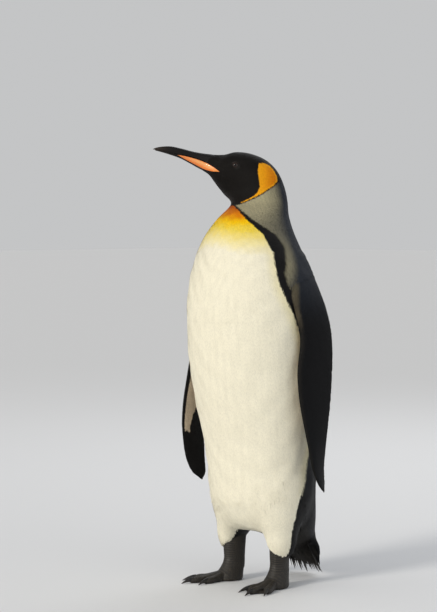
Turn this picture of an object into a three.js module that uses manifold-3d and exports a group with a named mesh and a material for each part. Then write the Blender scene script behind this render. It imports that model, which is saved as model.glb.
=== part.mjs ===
// A life-size king penguin, standing upright with its head turned to its own right.
//
// Millimetres, +Z up. The bird faces -Y, and its own left side is +X. The soles and the tail's tips rest
// on Z = 0, the claws end just above it, and X = Y = 0 is the middle of the outline seen from above.
//
// The feathered body, from the tail root to the forehead, is one long loft. Each of its stations names
// the front edge and the back edge of a ring in the bird's middle plane, and the ring's half width. The
// neck's rings turn about an upright axis, and the head keeps the full turn. Trunk, neck and head are
// lengths of that loft, parted by thin gaps. Thighs, legs, flippers, bill and tail are lofts of their
// own, parted from the trunk and from each other by the same gap.

import * as THREE from "three";
import { mergeVertices } from "three/addons/utils/BufferGeometryUtils.js";
import Module from "manifold-3d";

const wasm = await Module();
wasm.setup();

// ---------------------------------------------------------------- driving dimensions: body

const GAP = 0.3; // between two pieces that touch
const HEAD_TURN = -45; // degrees about the neck's axis, towards the bird's right
const NECK_AXIS_Y = 5; // the upright axis that the head turns about
const TURN_STARTS = 10.6; // body station where the turn begins
const TURN_ENDS = 15; // body station where the turn is complete

// Stations of the feathered body: front edge [y, z], back edge [y, z], half width.
const BODY = [
  { name: "tail root", front: [100, 66], back: [152, 96], half: 38 },
  { name: "vent", front: [54, 86], back: [134, 146], half: 66 },
  { name: "rump", front: [6, 103], back: [121, 202], half: 88 },
  { name: "groin", front: [-42, 122], back: [119, 256], half: 103 },
  { name: "thigh", front: [-74, 168], back: [117, 308], half: 112 },
  { name: "loin", front: [-86, 228], back: [117, 356], half: 118 },
  { name: "lower belly", front: [-99, 296], back: [118, 402], half: 125 },
  { name: "belly", front: [-118, 368], back: [119, 448], half: 130 },
  { name: "upper belly", front: [-132, 440], back: [119, 494], half: 133 },
  { name: "breast", front: [-138, 512], back: [117, 541], half: 135 },
  { name: "upper breast", front: [-137, 580], back: [108, 590], half: 132 },
  { name: "shoulder", front: [-127, 640], back: [92, 640], half: 119 },
  { name: "neck base", front: [-109, 690], back: [75, 692], half: 96 },
  { name: "lower throat", front: [-82, 728], back: [66, 736], half: 72 },
  { name: "throat", front: [-51.5, 761.5], back: [63.5, 768], half: 51 },
  { name: "jaw", front: [-66, 783], back: [56.5, 798], half: 44 },
  { name: "nape", front: [-77, 797], back: [42, 828.5], half: 41 },
  { name: "hind crown", front: [-86, 809], back: [19, 850.5], half: 38.5 },
  { name: "crown", front: [-92, 817], back: [-12, 863], half: 34 },
  { name: "brow", front: [-97, 822], back: [-40, 866], half: 28 },
  { name: "forehead", front: [-103, 826], back: [-64, 861], half: 21 },
];
const TRUNK_TOP = 12.1; // station where the trunk ends and the neck begins
const NECK_TOP = 15; // station where the neck ends and the head begins
const HEAD_TOP = BODY.length - 1;
const BODY_SQUARENESS = 2.08; // exponent of a ring's superellipse, 2 for an ellipse
const TRUNK_SIDES = 30;
const TRUNK_ROWS = 20;
const NECK_ROWS = 7;
const HEAD_SIDES = 24;
const HEAD_ROWS = 12;

// ---------------------------------------------------------------- driving dimensions: bill and eyes
// These are given for a head that faces straight forward.

const EYE = { x: 28.5, y: -41, z: 838.5, radius: 9 }; // the middle of the left eyeball
// Stations of the closed bill: bottom edge [y, z], top edge [y, z], half width.
const BILL = [
  { name: "in the head", bottom: [-80, 823], top: [-58, 855], half: 19 },
  { name: "gape", bottom: [-98, 826], top: [-84, 860.5], half: 15.5 },
  { name: "nostril", bottom: [-114, 833], top: [-107, 863.5], half: 12 },
  { name: "plate", bottom: [-132, 843], top: [-126, 867], half: 9.6 },
  { name: "plate's tip", bottom: [-151, 853], top: [-147, 872.5], half: 8 },
  { name: "hook's start", bottom: [-172, 860.5], top: [-170, 877.5], half: 6.6 },
  { name: "hook", bottom: [-190, 866], top: [-190, 877], half: 4.8 },
  { name: "near the tip", bottom: [-202, 869], top: [-203, 874], half: 2.4 },
];
const BILL_TIP = [-207.5, 871.5];
const BILL_SQUARENESS = 2.3;
// The line where the closed bill parts, from the gape to past the tip.
const COMMISSURE = [
  [-56, 818], [-76, 829], [-90, 840], [-104, 847.5], [-122, 854],
  [-146, 860], [-172, 864.5], [-196, 869.5], [-214, 873.5],
];
// The coloured plate's outline on the side of the lower bill: from its rear end forward, and back.
const PLATE = [
  [-73, 826], [-80, 831.5], [-90, 838.5], [-103, 845.5], [-120, 851.6], [-140, 857], [-157, 860.2],
  [-142, 851.5], [-126, 843], [-107, 833], [-90, 827.3],
];
const PLATE_INNER_X = 4; // how near the middle plane a plate reaches

// ---------------------------------------------------------------- driving dimensions: legs and feet

const LEG_X = 63; // from the middle plane to each leg's axis
const TOE_OUT = { left: 7, right: 14 }; // degrees that each leg is turned outwards below its feathers
const ANKLE_Z = 34; // where the foot begins
const HEM_Z = 82; // where the feathers of the leg end, on the leg's axis
const HEM_SLOPE = 0.62; // how fast that hem rises towards the other leg
// Stations about the leg's axis: height there, centre [x, y] with x outwards, half widths [x, y], and
// how fast the ring rises towards the other leg.
const THIGH = [
  { z: HEM_Z, centre: [1, 1], half: [21.5, 29], slope: HEM_SLOPE },
  { z: HEM_Z + 6, centre: [1, 1], half: [26, 33], slope: HEM_SLOPE },
  { z: 104, centre: [0.5, 1], half: [31.5, 37.5], slope: 0.5 },
  { z: 128, centre: [-1, 3], half: [37, 43], slope: 0.3 },
  { z: 160, centre: [-3, 5], half: [44, 52], slope: 0.1 },
  { z: 196, centre: [-6, 8], half: [47, 56], slope: 0 },
  { z: 240, centre: [-9, 12], half: [40, 52], slope: 0 },
];
const TARSUS = [
  { z: ANKLE_Z, centre: [0, -1], half: [18, 24.5], slope: 0 },
  { z: 46, centre: [0, 0.5], half: [17, 23], slope: 0 },
  { z: 60, centre: [0, 0.5], half: [17.5, 24], slope: 0.2 },
  { z: HEM_Z - 1.3 * GAP, centre: [0, 1], half: [18.5, 25.5], slope: HEM_SLOPE },
];
const INSTEP = [
  { z: -2, centre: [0, -13], half: [24, 29], slope: 0 },
  { z: 4, centre: [0, -13], half: [25.5, 30.5], slope: 0 },
  { z: 13, centre: [0, -11], half: [24.5, 29.5], slope: 0 },
  { z: 24, centre: [0, -5.5], half: [20.5, 26], slope: 0 },
  { z: ANKLE_Z - GAP, centre: [0, -1], half: [18, 24.5], slope: 0 },
];
const TOE_ROOT_Y = -14;
// Each toe: its splay from straight ahead, outwards in degrees, and its length without the claw.
const TOES = [
  { name: "inner", splay: -17, length: 67 },
  { name: "middle", splay: 3, length: 84 },
  { name: "outer", splay: 23, length: 71 },
];
// Along a toe, as shares of its length: half width and height.
const TOE = [
  { at: 0, half: 10.5, height: 27 },
  { at: 0.25, half: 9.6, height: 21 },
  { at: 0.5, half: 8.6, height: 15.5 },
  { at: 0.75, half: 8.8, height: 13.5 },
  { at: 0.93, half: 8, height: 12 },
  { at: 1.03, half: 5, height: 9 },
];
// A claw: its length past the toe, half height at the root and at the tip, the height of its middle at
// the root, how far that falls, and how deep the claw sits in the toe.
const CLAW = { length: 23, half: 4.3, tip: 0.55, rise: 7.4, drop: 6.4, inside: 5 };
const WEB = { reach: 0.97, top: 5.2, sag: 7 }; // share of the toes' lengths, thickness, and edge's sag

// ---------------------------------------------------------------- driving dimensions: flippers, tail

// Stations of the left flipper: leading edge [x, y, z], trailing edge [x, y, z], half thickness.
const FLIPPER = [
  { name: "in the shoulder", leading: [84, -34, 648], trailing: [82, 38, 658], half: 13 },
  { name: "shoulder", leading: [124, -40, 598], trailing: [121.5, 42, 606], half: 13.5 },
  { name: "upper arm", leading: [140, -34, 545], trailing: [145, 50, 545], half: 11.5 },
  { name: "elbow", leading: [148, -31, 494], trailing: [155, 52, 492], half: 9.5 },
  { name: "forearm", leading: [149, -40, 438], trailing: [158, 49.5, 436], half: 8 },
  { name: "wrist", leading: [150, -37, 386], trailing: [158, 45.5, 382], half: 7 },
  { name: "hand", leading: [153, -28, 336], trailing: [156, 41, 332], half: 6 },
  { name: "finger", leading: [158, -19, 287], trailing: [152.5, 37.5, 284], half: 5 },
  { name: "fingertip", leading: [160, -9, 245], trailing: [149.5, 36, 242], half: 4.2 },
  { name: "near the tip", leading: [160, 7, 215], trailing: [149, 38, 212], half: 3.2 },
  { name: "tip", leading: [156, 25, 199], trailing: [152, 34, 198], half: 1.6 },
];
const FLIPPER_BLUNTNESS = 0.35; // how much thicker it is towards the leading edge
// How far the lower half of each flipper is held out from the side, and forward, and the stations
// between which it comes to that.
const FLIPPER_REACH = { left: [0, 0], right: [7, -28], from: 3.4, to: 6.6 };

const TAIL = {
  quills: 11, // stiff tail feathers, side by side
  rootSpread: 36, // from the middle to the outermost quill's root
  tipSpread: 54,
  root: [124, 100], // [y, z] of the middle quill's root, under the coverts
  tip: [172, -3], // [y, z] of the middle quill's tip, before the floor cuts it flat
  outerRoot: [-14, -10], // how far the outermost roots lie from that
  outerTip: [-26, 6],
  cant: 0.4, // how steeply the outermost vanes lean
  width: 6.8, // half width of a quill's vane
  thick: 2, // half thickness at its root
  bow: 3, // how far a quill bends, hollow side down
};
// The feathered root of the tail, from the trunk's end: lower edge [y, z], upper edge [y, z], half width.
const TAIL_COVERTS = [
  { low: [100, 66], high: [152, 96], half: 38 },
  { low: [117, 50], high: [159, 70], half: 44 },
  { low: [133, 34], high: [162, 44], half: 47 },
];

// ---------------------------------------------------------------- curves and rings

const UP = new THREE.Vector3(0, 0, 1);
const radians = THREE.MathUtils.degToRad;

/** The value at t of a smooth curve that passes through list[0], list[1], ... at t = 0, 1, ... */
function through(list, t) {
  const last = list.length - 1;
  const i = Math.max(0, Math.min(Math.floor(t), last - 1));
  const u = t - i;
  const b = list[i];
  const c = list[i + 1];
  const a = i > 0 ? list[i - 1] : 2 * b - c;
  const d = i + 2 <= last ? list[i + 2] : 2 * c - b;
  return b + 0.5 * u * (c - a + u * (2 * a - 5 * b + 4 * c - d + u * (3 * (b - c) + d - a)));
}

/** A number of the stations at t. */
function numberAt(stations, t, key) {
  return through(stations.map((s) => s[key]), t);
}

/** A pair or triple of numbers of the stations at t. */
function listAt(stations, t, key) {
  return stations[0][key].map((_, axis) => through(stations.map((s) => s[key][axis]), t));
}

/** A [y, z] pair of the stations at t, as a point in the middle plane. */
function middlePoint(stations, t, key) {
  return new THREE.Vector3(0, ...listAt(stations, t, key));
}

/** Rows + 1 numbers from start to end. */
function steps(start, end, rows) {
  return Array.from({ length: rows + 1 }, (_, i) => start + ((end - start) * i) / rows);
}

/** The stations' whole range in so many rows. */
function stationSteps(stations, rows) {
  return steps(0, stations.length - 1, rows);
}

/** A power of x that keeps its sign. */
function signedPower(x, power) {
  return Math.sign(x) * Math.abs(x) ** power;
}

/**
 * A ring's points: a superellipse of half axes along and across its centre, from the end that -along
 * points to. Bluntness makes that end thicker than the other.
 */
function ringPoints({ centre, along, across }, sides, squareness = 2, bluntness = 0) {
  const power = 2 / squareness;
  return Array.from({ length: sides }, (_, j) => {
    const phi = (2 * Math.PI * j) / sides;
    const c = signedPower(Math.cos(phi), power);
    const s = signedPower(Math.sin(phi), power) * (1 + bluntness * c);
    return centre.clone().addScaledVector(along, -c).addScaledVector(across, s);
  });
}

/** The ring between two edge points in the middle plane, made larger all round by grow. */
function ringBetween(front, back, half, grow = 0) {
  const along = back.clone().sub(front).divideScalar(2);
  along.setLength(along.length() + grow);
  return {
    centre: front.clone().add(back).divideScalar(2),
    along,
    across: new THREE.Vector3(half + grow, 0, 0),
  };
}

// ---------------------------------------------------------------- geometries and solids

/** A closed geometry through a list of rings of points, with a flat fan at each end. */
function closedLoft(rings) {
  const sides = rings[0].length;
  const points = rings.flat();
  for (const end of [rings[0], rings.at(-1)]) {
    const middle = end.reduce((sum, p) => sum.add(p), new THREE.Vector3());
    points.push(middle.divideScalar(sides));
  }
  const faces = [];
  const firstEnd = points.length - 2;
  const lastRing = (rings.length - 1) * sides;
  for (let j = 0; j < sides; j++) {
    const k = (j + 1) % sides;
    for (let row = 0; row < lastRing; row += sides) {
      faces.push(row + j, row + k, row + sides + k, row + j, row + sides + k, row + sides + j);
    }
    faces.push(firstEnd, k, j, firstEnd + 1, lastRing + j, lastRing + k);
  }
  const geometry = new THREE.BufferGeometry().setFromPoints(points);
  geometry.setIndex(faces);
  return facingOut(geometry);
}

/** The geometry, with its faces turned round if they point inwards. */
function facingOut(geometry) {
  const p = geometry.getAttribute("position");
  const index = geometry.index.array;
  const [a, b, c] = [new THREE.Vector3(), new THREE.Vector3(), new THREE.Vector3()];
  let volume = 0;
  for (let i = 0; i < index.length; i += 3) {
    a.fromBufferAttribute(p, index[i]);
    b.fromBufferAttribute(p, index[i + 1]);
    c.fromBufferAttribute(p, index[i + 2]);
    volume += a.dot(b.cross(c));
  }
  if (volume < 0) {
    for (let i = 0; i < index.length; i += 3) {
      [index[i + 1], index[i + 2]] = [index[i + 2], index[i + 1]];
    }
  }
  return geometry;
}

/** The geometry with its shared corners merged. */
function merged(geometry) {
  const bare = new THREE.BufferGeometry();
  bare.setAttribute("position", geometry.getAttribute("position"));
  bare.setIndex(geometry.index);
  return mergeVertices(bare, 1e-4);
}

/** A geometry as a manifold-3d solid. */
function solidOf(geometry) {
  const whole = merged(geometry);
  const mesh = new wasm.Mesh({
    numProp: 3,
    vertProperties: whole.getAttribute("position").array,
    triVerts: new Uint32Array(whole.index.array),
  });
  return new wasm.Manifold(mesh);
}

/** A manifold-3d solid as a geometry. Crumbs that a cut leaves beside the main body are dropped. */
function geometryOf(solid) {
  const bodies = solid.decompose().sort((a, b) => b.volume() - a.volume());
  const mesh = bodies[0].getMesh();
  const geometry = new THREE.BufferGeometry();
  geometry.setAttribute("position", new THREE.BufferAttribute(mesh.vertProperties, 3));
  geometry.setIndex(new THREE.BufferAttribute(mesh.triVerts, 1));
  return geometry;
}

/** A prism along X between x0 and x1 over an outline of [y, z] points. */
function prismAlongX(outline, x0, x1) {
  const shape = new THREE.Shape(outline.map(([y, z]) => new THREE.Vector2(y, z)));
  const geometry = new THREE.ExtrudeGeometry(shape, { depth: x1 - x0, bevelEnabled: false });
  // The extrusion's x, y and z become the bird's y, z and x.
  geometry.applyMatrix4(new THREE.Matrix4().makeBasis(
    new THREE.Vector3(0, 1, 0), new THREE.Vector3(0, 0, 1), new THREE.Vector3(1, 0, 0)));
  geometry.translate(x0, 0, 0);
  return solidOf(geometry);
}

/** Everything below the floor, as a block to cut away. */
const belowFloor = solidOf(new THREE.BoxGeometry(600, 800, 60).translate(0, 0, -30));

// ---------------------------------------------------------------- feathered body

/** How far the head's turn has gone at body station t, in radians. */
function turnAt(t) {
  return radians(HEAD_TURN) * THREE.MathUtils.smoothstep(t, TURN_STARTS, TURN_ENDS);
}

/** The ring of the feathered body at station t, made larger all round by grow. */
function bodyRing(t, grow, turn) {
  const ring = ringBetween(
    middlePoint(BODY, t, "front"), middlePoint(BODY, t, "back"), numberAt(BODY, t, "half"), grow);
  const pivot = new THREE.Vector3(0, NECK_AXIS_Y, 0);
  ring.centre.sub(pivot).applyAxisAngle(UP, turn).add(pivot);
  ring.along.applyAxisAngle(UP, turn);
  ring.across.applyAxisAngle(UP, turn);
  return ring;
}

/** A length of the feathered body, from station t0 to station t1. Turn is a function of the station. */
function bodyLength(t0, t1, rows, sides, grow = 0, turn = turnAt) {
  return closedLoft(steps(t0, t1, rows).map((t) =>
    ringPoints(bodyRing(t, grow, turn(t)), sides, BODY_SQUARENESS)));
}

/** The station a little past t, so that a piece starting there clears one that ends at t by the gap. */
function past(t) {
  const small = 0.01;
  const here = bodyRing(t, 0, 0).centre;
  const there = bodyRing(t + small, 0, 0).centre;
  return t + (2 * GAP * small) / here.distanceTo(there);
}

const trunk = bodyLength(0, TRUNK_TOP, TRUNK_ROWS, TRUNK_SIDES);
const trunkWithGap = solidOf(bodyLength(0, TRUNK_TOP, TRUNK_ROWS, TRUNK_SIDES, GAP));
const neck = bodyLength(past(TRUNK_TOP), NECK_TOP, NECK_ROWS, TRUNK_SIDES);

// ---------------------------------------------------------------- head, bill and eyes
// They are worked out facing straight forward. The head's own group turns them.

/** The whole closed bill, rounded off at its tip and made larger all round by grow. */
function closedBill(grow = 0) {
  const sides = 14;
  const rings = steps(-grow / 25, BILL.length - 1, 10).map((t) => {
    const [bottom, top] = [middlePoint(BILL, t, "bottom"), middlePoint(BILL, t, "top")];
    return ringPoints(ringBetween(bottom, top, numberAt(BILL, t, "half"), grow), sides, BILL_SQUARENESS);
  });
  const tip = new THREE.Vector3(0, ...BILL_TIP);
  rings.push(rings.at(-1).map((p) => p.clone().lerp(tip, 0.75)));
  return solidOf(closedLoft(rings));
}

/** A slab that reaches from the commissure up (side 1) or down (side -1), clear of it by half the gap. */
function billSide(side) {
  const line = stationSteps(COMMISSURE, 16).map((t) => [
    through(COMMISSURE.map((c) => c[0]), t),
    through(COMMISSURE.map((c) => c[1]), t) + (side * GAP) / 2,
  ]);
  const far = side * 80;
  return prismAlongX([...line, [-230, 870 + far], [-40, 830 + far]], -60, 60);
}

/** A closed outline of [y, z] corners, moved outwards by margin. */
function grown(outline, margin) {
  const corners = outline.map(([y, z]) => new THREE.Vector2(y, z));
  const reach = margin * Math.sign(THREE.ShapeUtils.area(corners));
  return corners.map((corner, i) => {
    const before = corners.at(i - 1);
    const after = corners[(i + 1) % corners.length];
    const tangent = corner.clone().sub(before).normalize()
      .add(after.clone().sub(corner).normalize())
      .setLength(reach);
    return [corner.x + tangent.y, corner.y - tangent.x];
  });
}

/** The prism that parts the plate on one side of the bill from what it is set in. */
function platePrism(side, margin) {
  const inner = PLATE_INNER_X - margin;
  const [x0, x1] = side > 0 ? [inner, 60] : [-60, -inner];
  return prismAlongX(grown(PLATE, margin), x0, x1);
}

/** A ball at an eye's place. */
function eyeball(side, radius) {
  const geometry = new THREE.SphereGeometry(radius, 12, 8);
  geometry.rotateZ(Math.PI / 2);
  geometry.translate(side * EYE.x, EYE.y, EYE.z);
  return merged(geometry);
}

const headWhole = solidOf(bodyLength(past(NECK_TOP), HEAD_TOP, HEAD_ROWS, HEAD_SIDES, 0, () => 0));
const bill = closedBill();
const plateCuts = platePrism(1, GAP).add(platePrism(-1, GAP));

/** The head, with pockets for the bill, the plates and the eyes. */
function headSolid() {
  let made = headWhole.subtract(closedBill(GAP)).subtract(plateCuts);
  for (const side of [1, -1]) made = made.subtract(solidOf(eyeball(side, EYE.radius + GAP)));
  return made;
}

/** The lower bill, without the plates. */
function billLowerSolid() {
  return bill.subtract(plateCuts).intersect(billSide(-1));
}

/** One plate: what the bill and the cheek hold inside the plate's outline. */
function plateSolid(side) {
  return bill.add(headWhole).intersect(platePrism(side, 0)).intersect(billSide(-1));
}

// ---------------------------------------------------------------- thighs, legs and feet

/** An upright loft of a leg's stations on one side, about an axis at x, for a leg turned out by turn. */
function uprightLoft(stations, side, rows, sides, x = 0, turn = 0) {
  return closedLoft(stationSteps(stations, rows).map((t) => {
    const slope = numberAt(stations, t, "slope");
    const [centreX, centreY] = listAt(stations, t, "centre");
    const [halfX, halfY] = listAt(stations, t, "half");
    const riseX = -slope * Math.cos(turn);
    const riseY = slope * Math.sin(turn);
    const height = numberAt(stations, t, "z") + riseX * centreX + riseY * centreY;
    return ringPoints({
      centre: new THREE.Vector3(side * (x + centreX), centreY, height),
      along: new THREE.Vector3(0, halfY, riseY * halfY),
      across: new THREE.Vector3(side * halfX, 0, riseX * halfX),
    }, sides);
  }));
}

/** A feathered thigh, parted from the trunk. */
function thighSolid(side) {
  return solidOf(uprightLoft(THIGH, side, 8, 20, LEG_X)).subtract(trunkWithGap);
}

/** The point that lies a distance ahead of a toe's root, in the plan of one foot. */
function onToe(side, toe, distance) {
  const angle = radians(toe.splay);
  return new THREE.Vector2(
    side * distance * Math.sin(angle),
    TOE_ROOT_Y - distance * Math.cos(angle),
  );
}

/** An upright ring across a toe at a distance ahead of its root, from its middle's height and half axes. */
function toeRing(side, toe, distance, height, halfHeight, halfWidth) {
  const at = onToe(side, toe, distance);
  const angle = radians(toe.splay);
  return {
    centre: new THREE.Vector3(at.x, at.y, height),
    along: new THREE.Vector3(0, 0, halfHeight),
    across: new THREE.Vector3(side * Math.cos(angle), Math.sin(angle), 0).multiplyScalar(halfWidth),
  };
}

/** One toe, a little too deep: the sole is cut flat later. */
function toeSolid(side, toe) {
  const tooDeep = 1;
  return solidOf(closedLoft(stationSteps(TOE, 5).map((t) => {
    const distance = toe.length * numberAt(TOE, t, "at");
    const halfHeight = numberAt(TOE, t, "height") / 2;
    const ring = toeRing(side, toe, distance, halfHeight - tooDeep, halfHeight, numberAt(TOE, t, "half"));
    return ringPoints(ring, 8, 2.3);
  })));
}

/** One claw: a cone that curves down to the floor, rooted inside its toe's end. */
function clawSolid(side, toe, grow = 0) {
  return solidOf(closedLoft(steps(0, 1, 3).map((u) => {
    const distance = toe.length - CLAW.inside + (CLAW.length + CLAW.inside) * u;
    const size = CLAW.half * (1 - u ** 1.7) + CLAW.tip + grow;
    const height = CLAW.rise - CLAW.drop * u ** 2;
    return ringPoints(toeRing(side, toe, distance, height, size, 0.8 * size), 8);
  })));
}

/** The web between the toes: a thin plate whose front edge sags back between them. */
function webSolid(side) {
  const shape = new THREE.Shape();
  const [inner, middle, outer] = TOES.map((toe) => onToe(side, toe, toe.length * WEB.reach));
  const sag = (a, b) => [(a.x + b.x) / 2, (a.y + b.y) / 2 + 2 * WEB.sag];
  shape.moveTo(0, TOE_ROOT_Y + 8);
  shape.lineTo(inner.x, inner.y);
  shape.quadraticCurveTo(...sag(inner, middle), middle.x, middle.y);
  shape.quadraticCurveTo(...sag(middle, outer), outer.x, outer.y);
  const tooDeep = 2;
  const geometry = new THREE.ExtrudeGeometry(shape, {
    depth: WEB.top + tooDeep, bevelEnabled: false, curveSegments: 4,
  });
  return solidOf(geometry.translate(0, 0, -tooDeep));
}

/** A foot: instep, toes and webs in one, with a flat sole and pockets for its claws. */
function footSolid(side) {
  let made = solidOf(uprightLoft(INSTEP, side, 4, 18)).add(webSolid(side));
  for (const toe of TOES) made = made.add(toeSolid(side, toe));
  for (const toe of TOES) made = made.subtract(clawSolid(side, toe, GAP));
  return made.subtract(belowFloor);
}

// ---------------------------------------------------------------- flippers

/** The ring of a flipper at station t, on one side of the bird. */
function flipperRing(t, side) {
  const leading = new THREE.Vector3(...listAt(FLIPPER, t, "leading"));
  const trailing = new THREE.Vector3(...listAt(FLIPPER, t, "trailing"));
  const along = trailing.clone().sub(leading).divideScalar(2);
  const across = new THREE.Vector3(along.y, -along.x, 0).setLength(numberAt(FLIPPER, t, "half"));
  const centre = leading.add(trailing).divideScalar(2);
  const [out, ahead] = side > 0 ? FLIPPER_REACH.left : FLIPPER_REACH.right;
  const held = THREE.MathUtils.smoothstep(t, FLIPPER_REACH.from, FLIPPER_REACH.to);
  centre.add(new THREE.Vector3(out * held, ahead * held, 0));
  for (const v of [centre, along, across]) v.x *= side;
  return { centre, along, across };
}

/** One flipper, parted from the trunk. */
function flipperSolid(side) {
  const loft = closedLoft(stationSteps(FLIPPER, 16).map((t) =>
    ringPoints(flipperRing(t, side), 14, 2, FLIPPER_BLUNTNESS)));
  return solidOf(loft).subtract(trunkWithGap);
}

// ---------------------------------------------------------------- tail

/** One stiff tail feather, with share running from -1 at the right side to 1 at the left. */
function quillSolid(share) {
  const away = Math.abs(share) ** 1.5;
  const end = (spread, [y, z], [outerY, outerZ]) =>
    new THREE.Vector3(spread * share, y + outerY * away, z + outerZ * away);
  const root = end(TAIL.rootSpread, TAIL.root, TAIL.outerRoot);
  const tip = end(TAIL.tipSpread, TAIL.tip, TAIL.outerTip);
  const lie = tip.clone().sub(root).normalize();
  const slant = new THREE.Vector3(1, -TAIL.cant * share, 0).normalize();
  const up = new THREE.Vector3().crossVectors(slant, lie).normalize();
  return solidOf(closedLoft(steps(0, 1, 3).map((u) => {
    const bend = 4 * TAIL.bow * u * (1 - u);
    return ringPoints({
      centre: root.clone().lerp(tip, u).addScaledVector(up, -bend),
      along: up.clone().multiplyScalar(TAIL.thick * (1 - 0.45 * u)),
      across: slant.clone().multiplyScalar(TAIL.width * (1.08 - u ** 4)),
    }, 6);
  })));
}

/** The tail: coverts and quills in one, parted from the trunk and cut flat where it stands on the floor. */
function tailSolid() {
  const coverts = closedLoft(stationSteps(TAIL_COVERTS, 4).map((t) => {
    const [low, high] = [middlePoint(TAIL_COVERTS, t, "low"), middlePoint(TAIL_COVERTS, t, "high")];
    return ringPoints(ringBetween(low, high, numberAt(TAIL_COVERTS, t, "half")), 20, BODY_SQUARENESS);
  }));
  let made = solidOf(coverts);
  for (const share of steps(-1, 1, TAIL.quills - 1)) made = made.add(quillSolid(share));
  return made.subtract(trunkWithGap).subtract(belowFloor);
}

// ---------------------------------------------------------------- materials

const finish = (color, roughness) => new THREE.MeshStandardMaterial({ color, roughness, metalness: 0 });
const WHITE_PLUMAGE = finish(0xe9e2cf, 0.75);
const SLATE_PLUMAGE = finish(0x33363c, 0.6);
const SILVER_PLUMAGE = finish(0x8e8d88, 0.7);
const BLACK_PLUMAGE = finish(0x141110, 0.65);
const BLACK_HORN = finish(0x1c1815, 0.35);
const PLATE_HORN = finish(0xee9468, 0.35);
const EYE_GLOSS = finish(0x2a150b, 0.08);
const LEG_SKIN = finish(0x2b2622, 0.7);
const CLAW_HORN = finish(0x12100f, 0.4);

// ---------------------------------------------------------------- the bird

const bird = new THREE.Group();

const headGroup = new THREE.Group(); // turned about the neck's axis
headGroup.rotation.z = radians(HEAD_TURN);
headGroup.position.set(0, NECK_AXIS_Y, 0);
const headPieces = new THREE.Group();
headPieces.position.set(0, -NECK_AXIS_Y, 0);
headGroup.add(headPieces);
bird.add(headGroup);

/** Adds a geometry or a solid to a group as a named mesh. */
function place(name, shape, material, group = bird) {
  const geometry = shape.isBufferGeometry ? shape : geometryOf(shape);
  const mesh = new THREE.Mesh(geometry, material);
  mesh.name = name;
  group.add(mesh);
}

place("trunk", trunk, WHITE_PLUMAGE);
place("neck", neck, SILVER_PLUMAGE);
place("head", headSolid(), BLACK_PLUMAGE, headPieces);
place("bill_upper", bill.intersect(billSide(1)), BLACK_HORN, headPieces);
place("bill_lower", billLowerSolid(), BLACK_HORN, headPieces);
place("tail", tailSolid(), SLATE_PLUMAGE);

for (const [word, side] of [["left", 1], ["right", -1]]) {
  place(`bill_plate_${word}`, plateSolid(side), PLATE_HORN, headPieces);
  place(`eye_${word}`, eyeball(side, EYE.radius), EYE_GLOSS, headPieces);
  place(`flipper_${word}`, flipperSolid(side), SLATE_PLUMAGE);
  place(`thigh_${word}`, thighSolid(side), WHITE_PLUMAGE);

  const turn = radians(TOE_OUT[word]);
  const leg = new THREE.Group();
  leg.position.set(side * LEG_X, 0, 0);
  leg.rotation.z = side * turn;
  bird.add(leg);
  place(`tarsus_${word}`, uprightLoft(TARSUS, side, 3, 18, 0, turn), LEG_SKIN, leg);
  place(`foot_${word}`, footSolid(side), LEG_SKIN, leg);
  for (const toe of TOES) {
    place(`claw_${word}_${toe.name}`, clawSolid(side, toe), CLAW_HORN, leg);
  }
}

// The origin goes to the middle of the outline seen from above, on the floor.
const box = new THREE.Box3().setFromObject(bird, true);
const middle = box.getCenter(new THREE.Vector3());
bird.position.set(-middle.x, -middle.y, 0);

const part = new THREE.Group();
part.add(bird);

export default part;
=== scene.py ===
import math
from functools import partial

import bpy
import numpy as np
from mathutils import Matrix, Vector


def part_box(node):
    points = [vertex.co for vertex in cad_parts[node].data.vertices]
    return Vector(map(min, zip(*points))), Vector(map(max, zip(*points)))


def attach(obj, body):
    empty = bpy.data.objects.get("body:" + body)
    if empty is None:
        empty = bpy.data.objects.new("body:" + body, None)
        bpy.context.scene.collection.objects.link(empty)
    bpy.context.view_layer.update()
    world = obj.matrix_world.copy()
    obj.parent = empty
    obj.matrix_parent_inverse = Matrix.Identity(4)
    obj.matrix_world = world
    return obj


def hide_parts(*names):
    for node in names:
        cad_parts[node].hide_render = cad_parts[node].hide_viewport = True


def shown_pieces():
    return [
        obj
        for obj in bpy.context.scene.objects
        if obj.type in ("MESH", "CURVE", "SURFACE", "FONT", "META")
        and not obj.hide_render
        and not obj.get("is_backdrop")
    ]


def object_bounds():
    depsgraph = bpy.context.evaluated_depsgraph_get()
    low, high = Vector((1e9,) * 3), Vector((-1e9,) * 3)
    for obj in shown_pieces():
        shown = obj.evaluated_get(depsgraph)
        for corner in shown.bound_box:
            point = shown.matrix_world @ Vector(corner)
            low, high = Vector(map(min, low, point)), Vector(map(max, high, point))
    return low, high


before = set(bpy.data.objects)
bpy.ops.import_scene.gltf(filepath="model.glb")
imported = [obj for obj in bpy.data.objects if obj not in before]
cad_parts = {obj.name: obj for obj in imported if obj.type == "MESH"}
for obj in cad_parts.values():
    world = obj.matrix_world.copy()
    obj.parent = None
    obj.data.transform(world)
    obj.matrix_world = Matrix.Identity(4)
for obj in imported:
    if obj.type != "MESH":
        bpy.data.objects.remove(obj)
cad_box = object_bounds()

# %% [markdown]
# # Dressing a king penguin
#
# The frame holds the bird as two dozen plain solids. This lesson gives it the surfaces of the real
# animal: a skin without seams, a coat of many thousand small stiff feathers, a horny bill with its
# coloured plates, eyes with lids, scaly legs and a fan of stiff tail feathers. Every shape is a formula
# on whole numpy arrays, so a number changed at the top moves everything that depends on it.

MM = 0.001  # the formulas work in millimetres, Blender in metres
TURN = 2 * math.pi
ALL_ROUND = (-math.pi, math.pi)
SIDES = (("left", 1), ("right", -1))  # each side of the bird, and the sign of its x
rng = np.random.default_rng(11)
print("CAD box", [round(v, 4) for corner in cad_box for v in corner])

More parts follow.
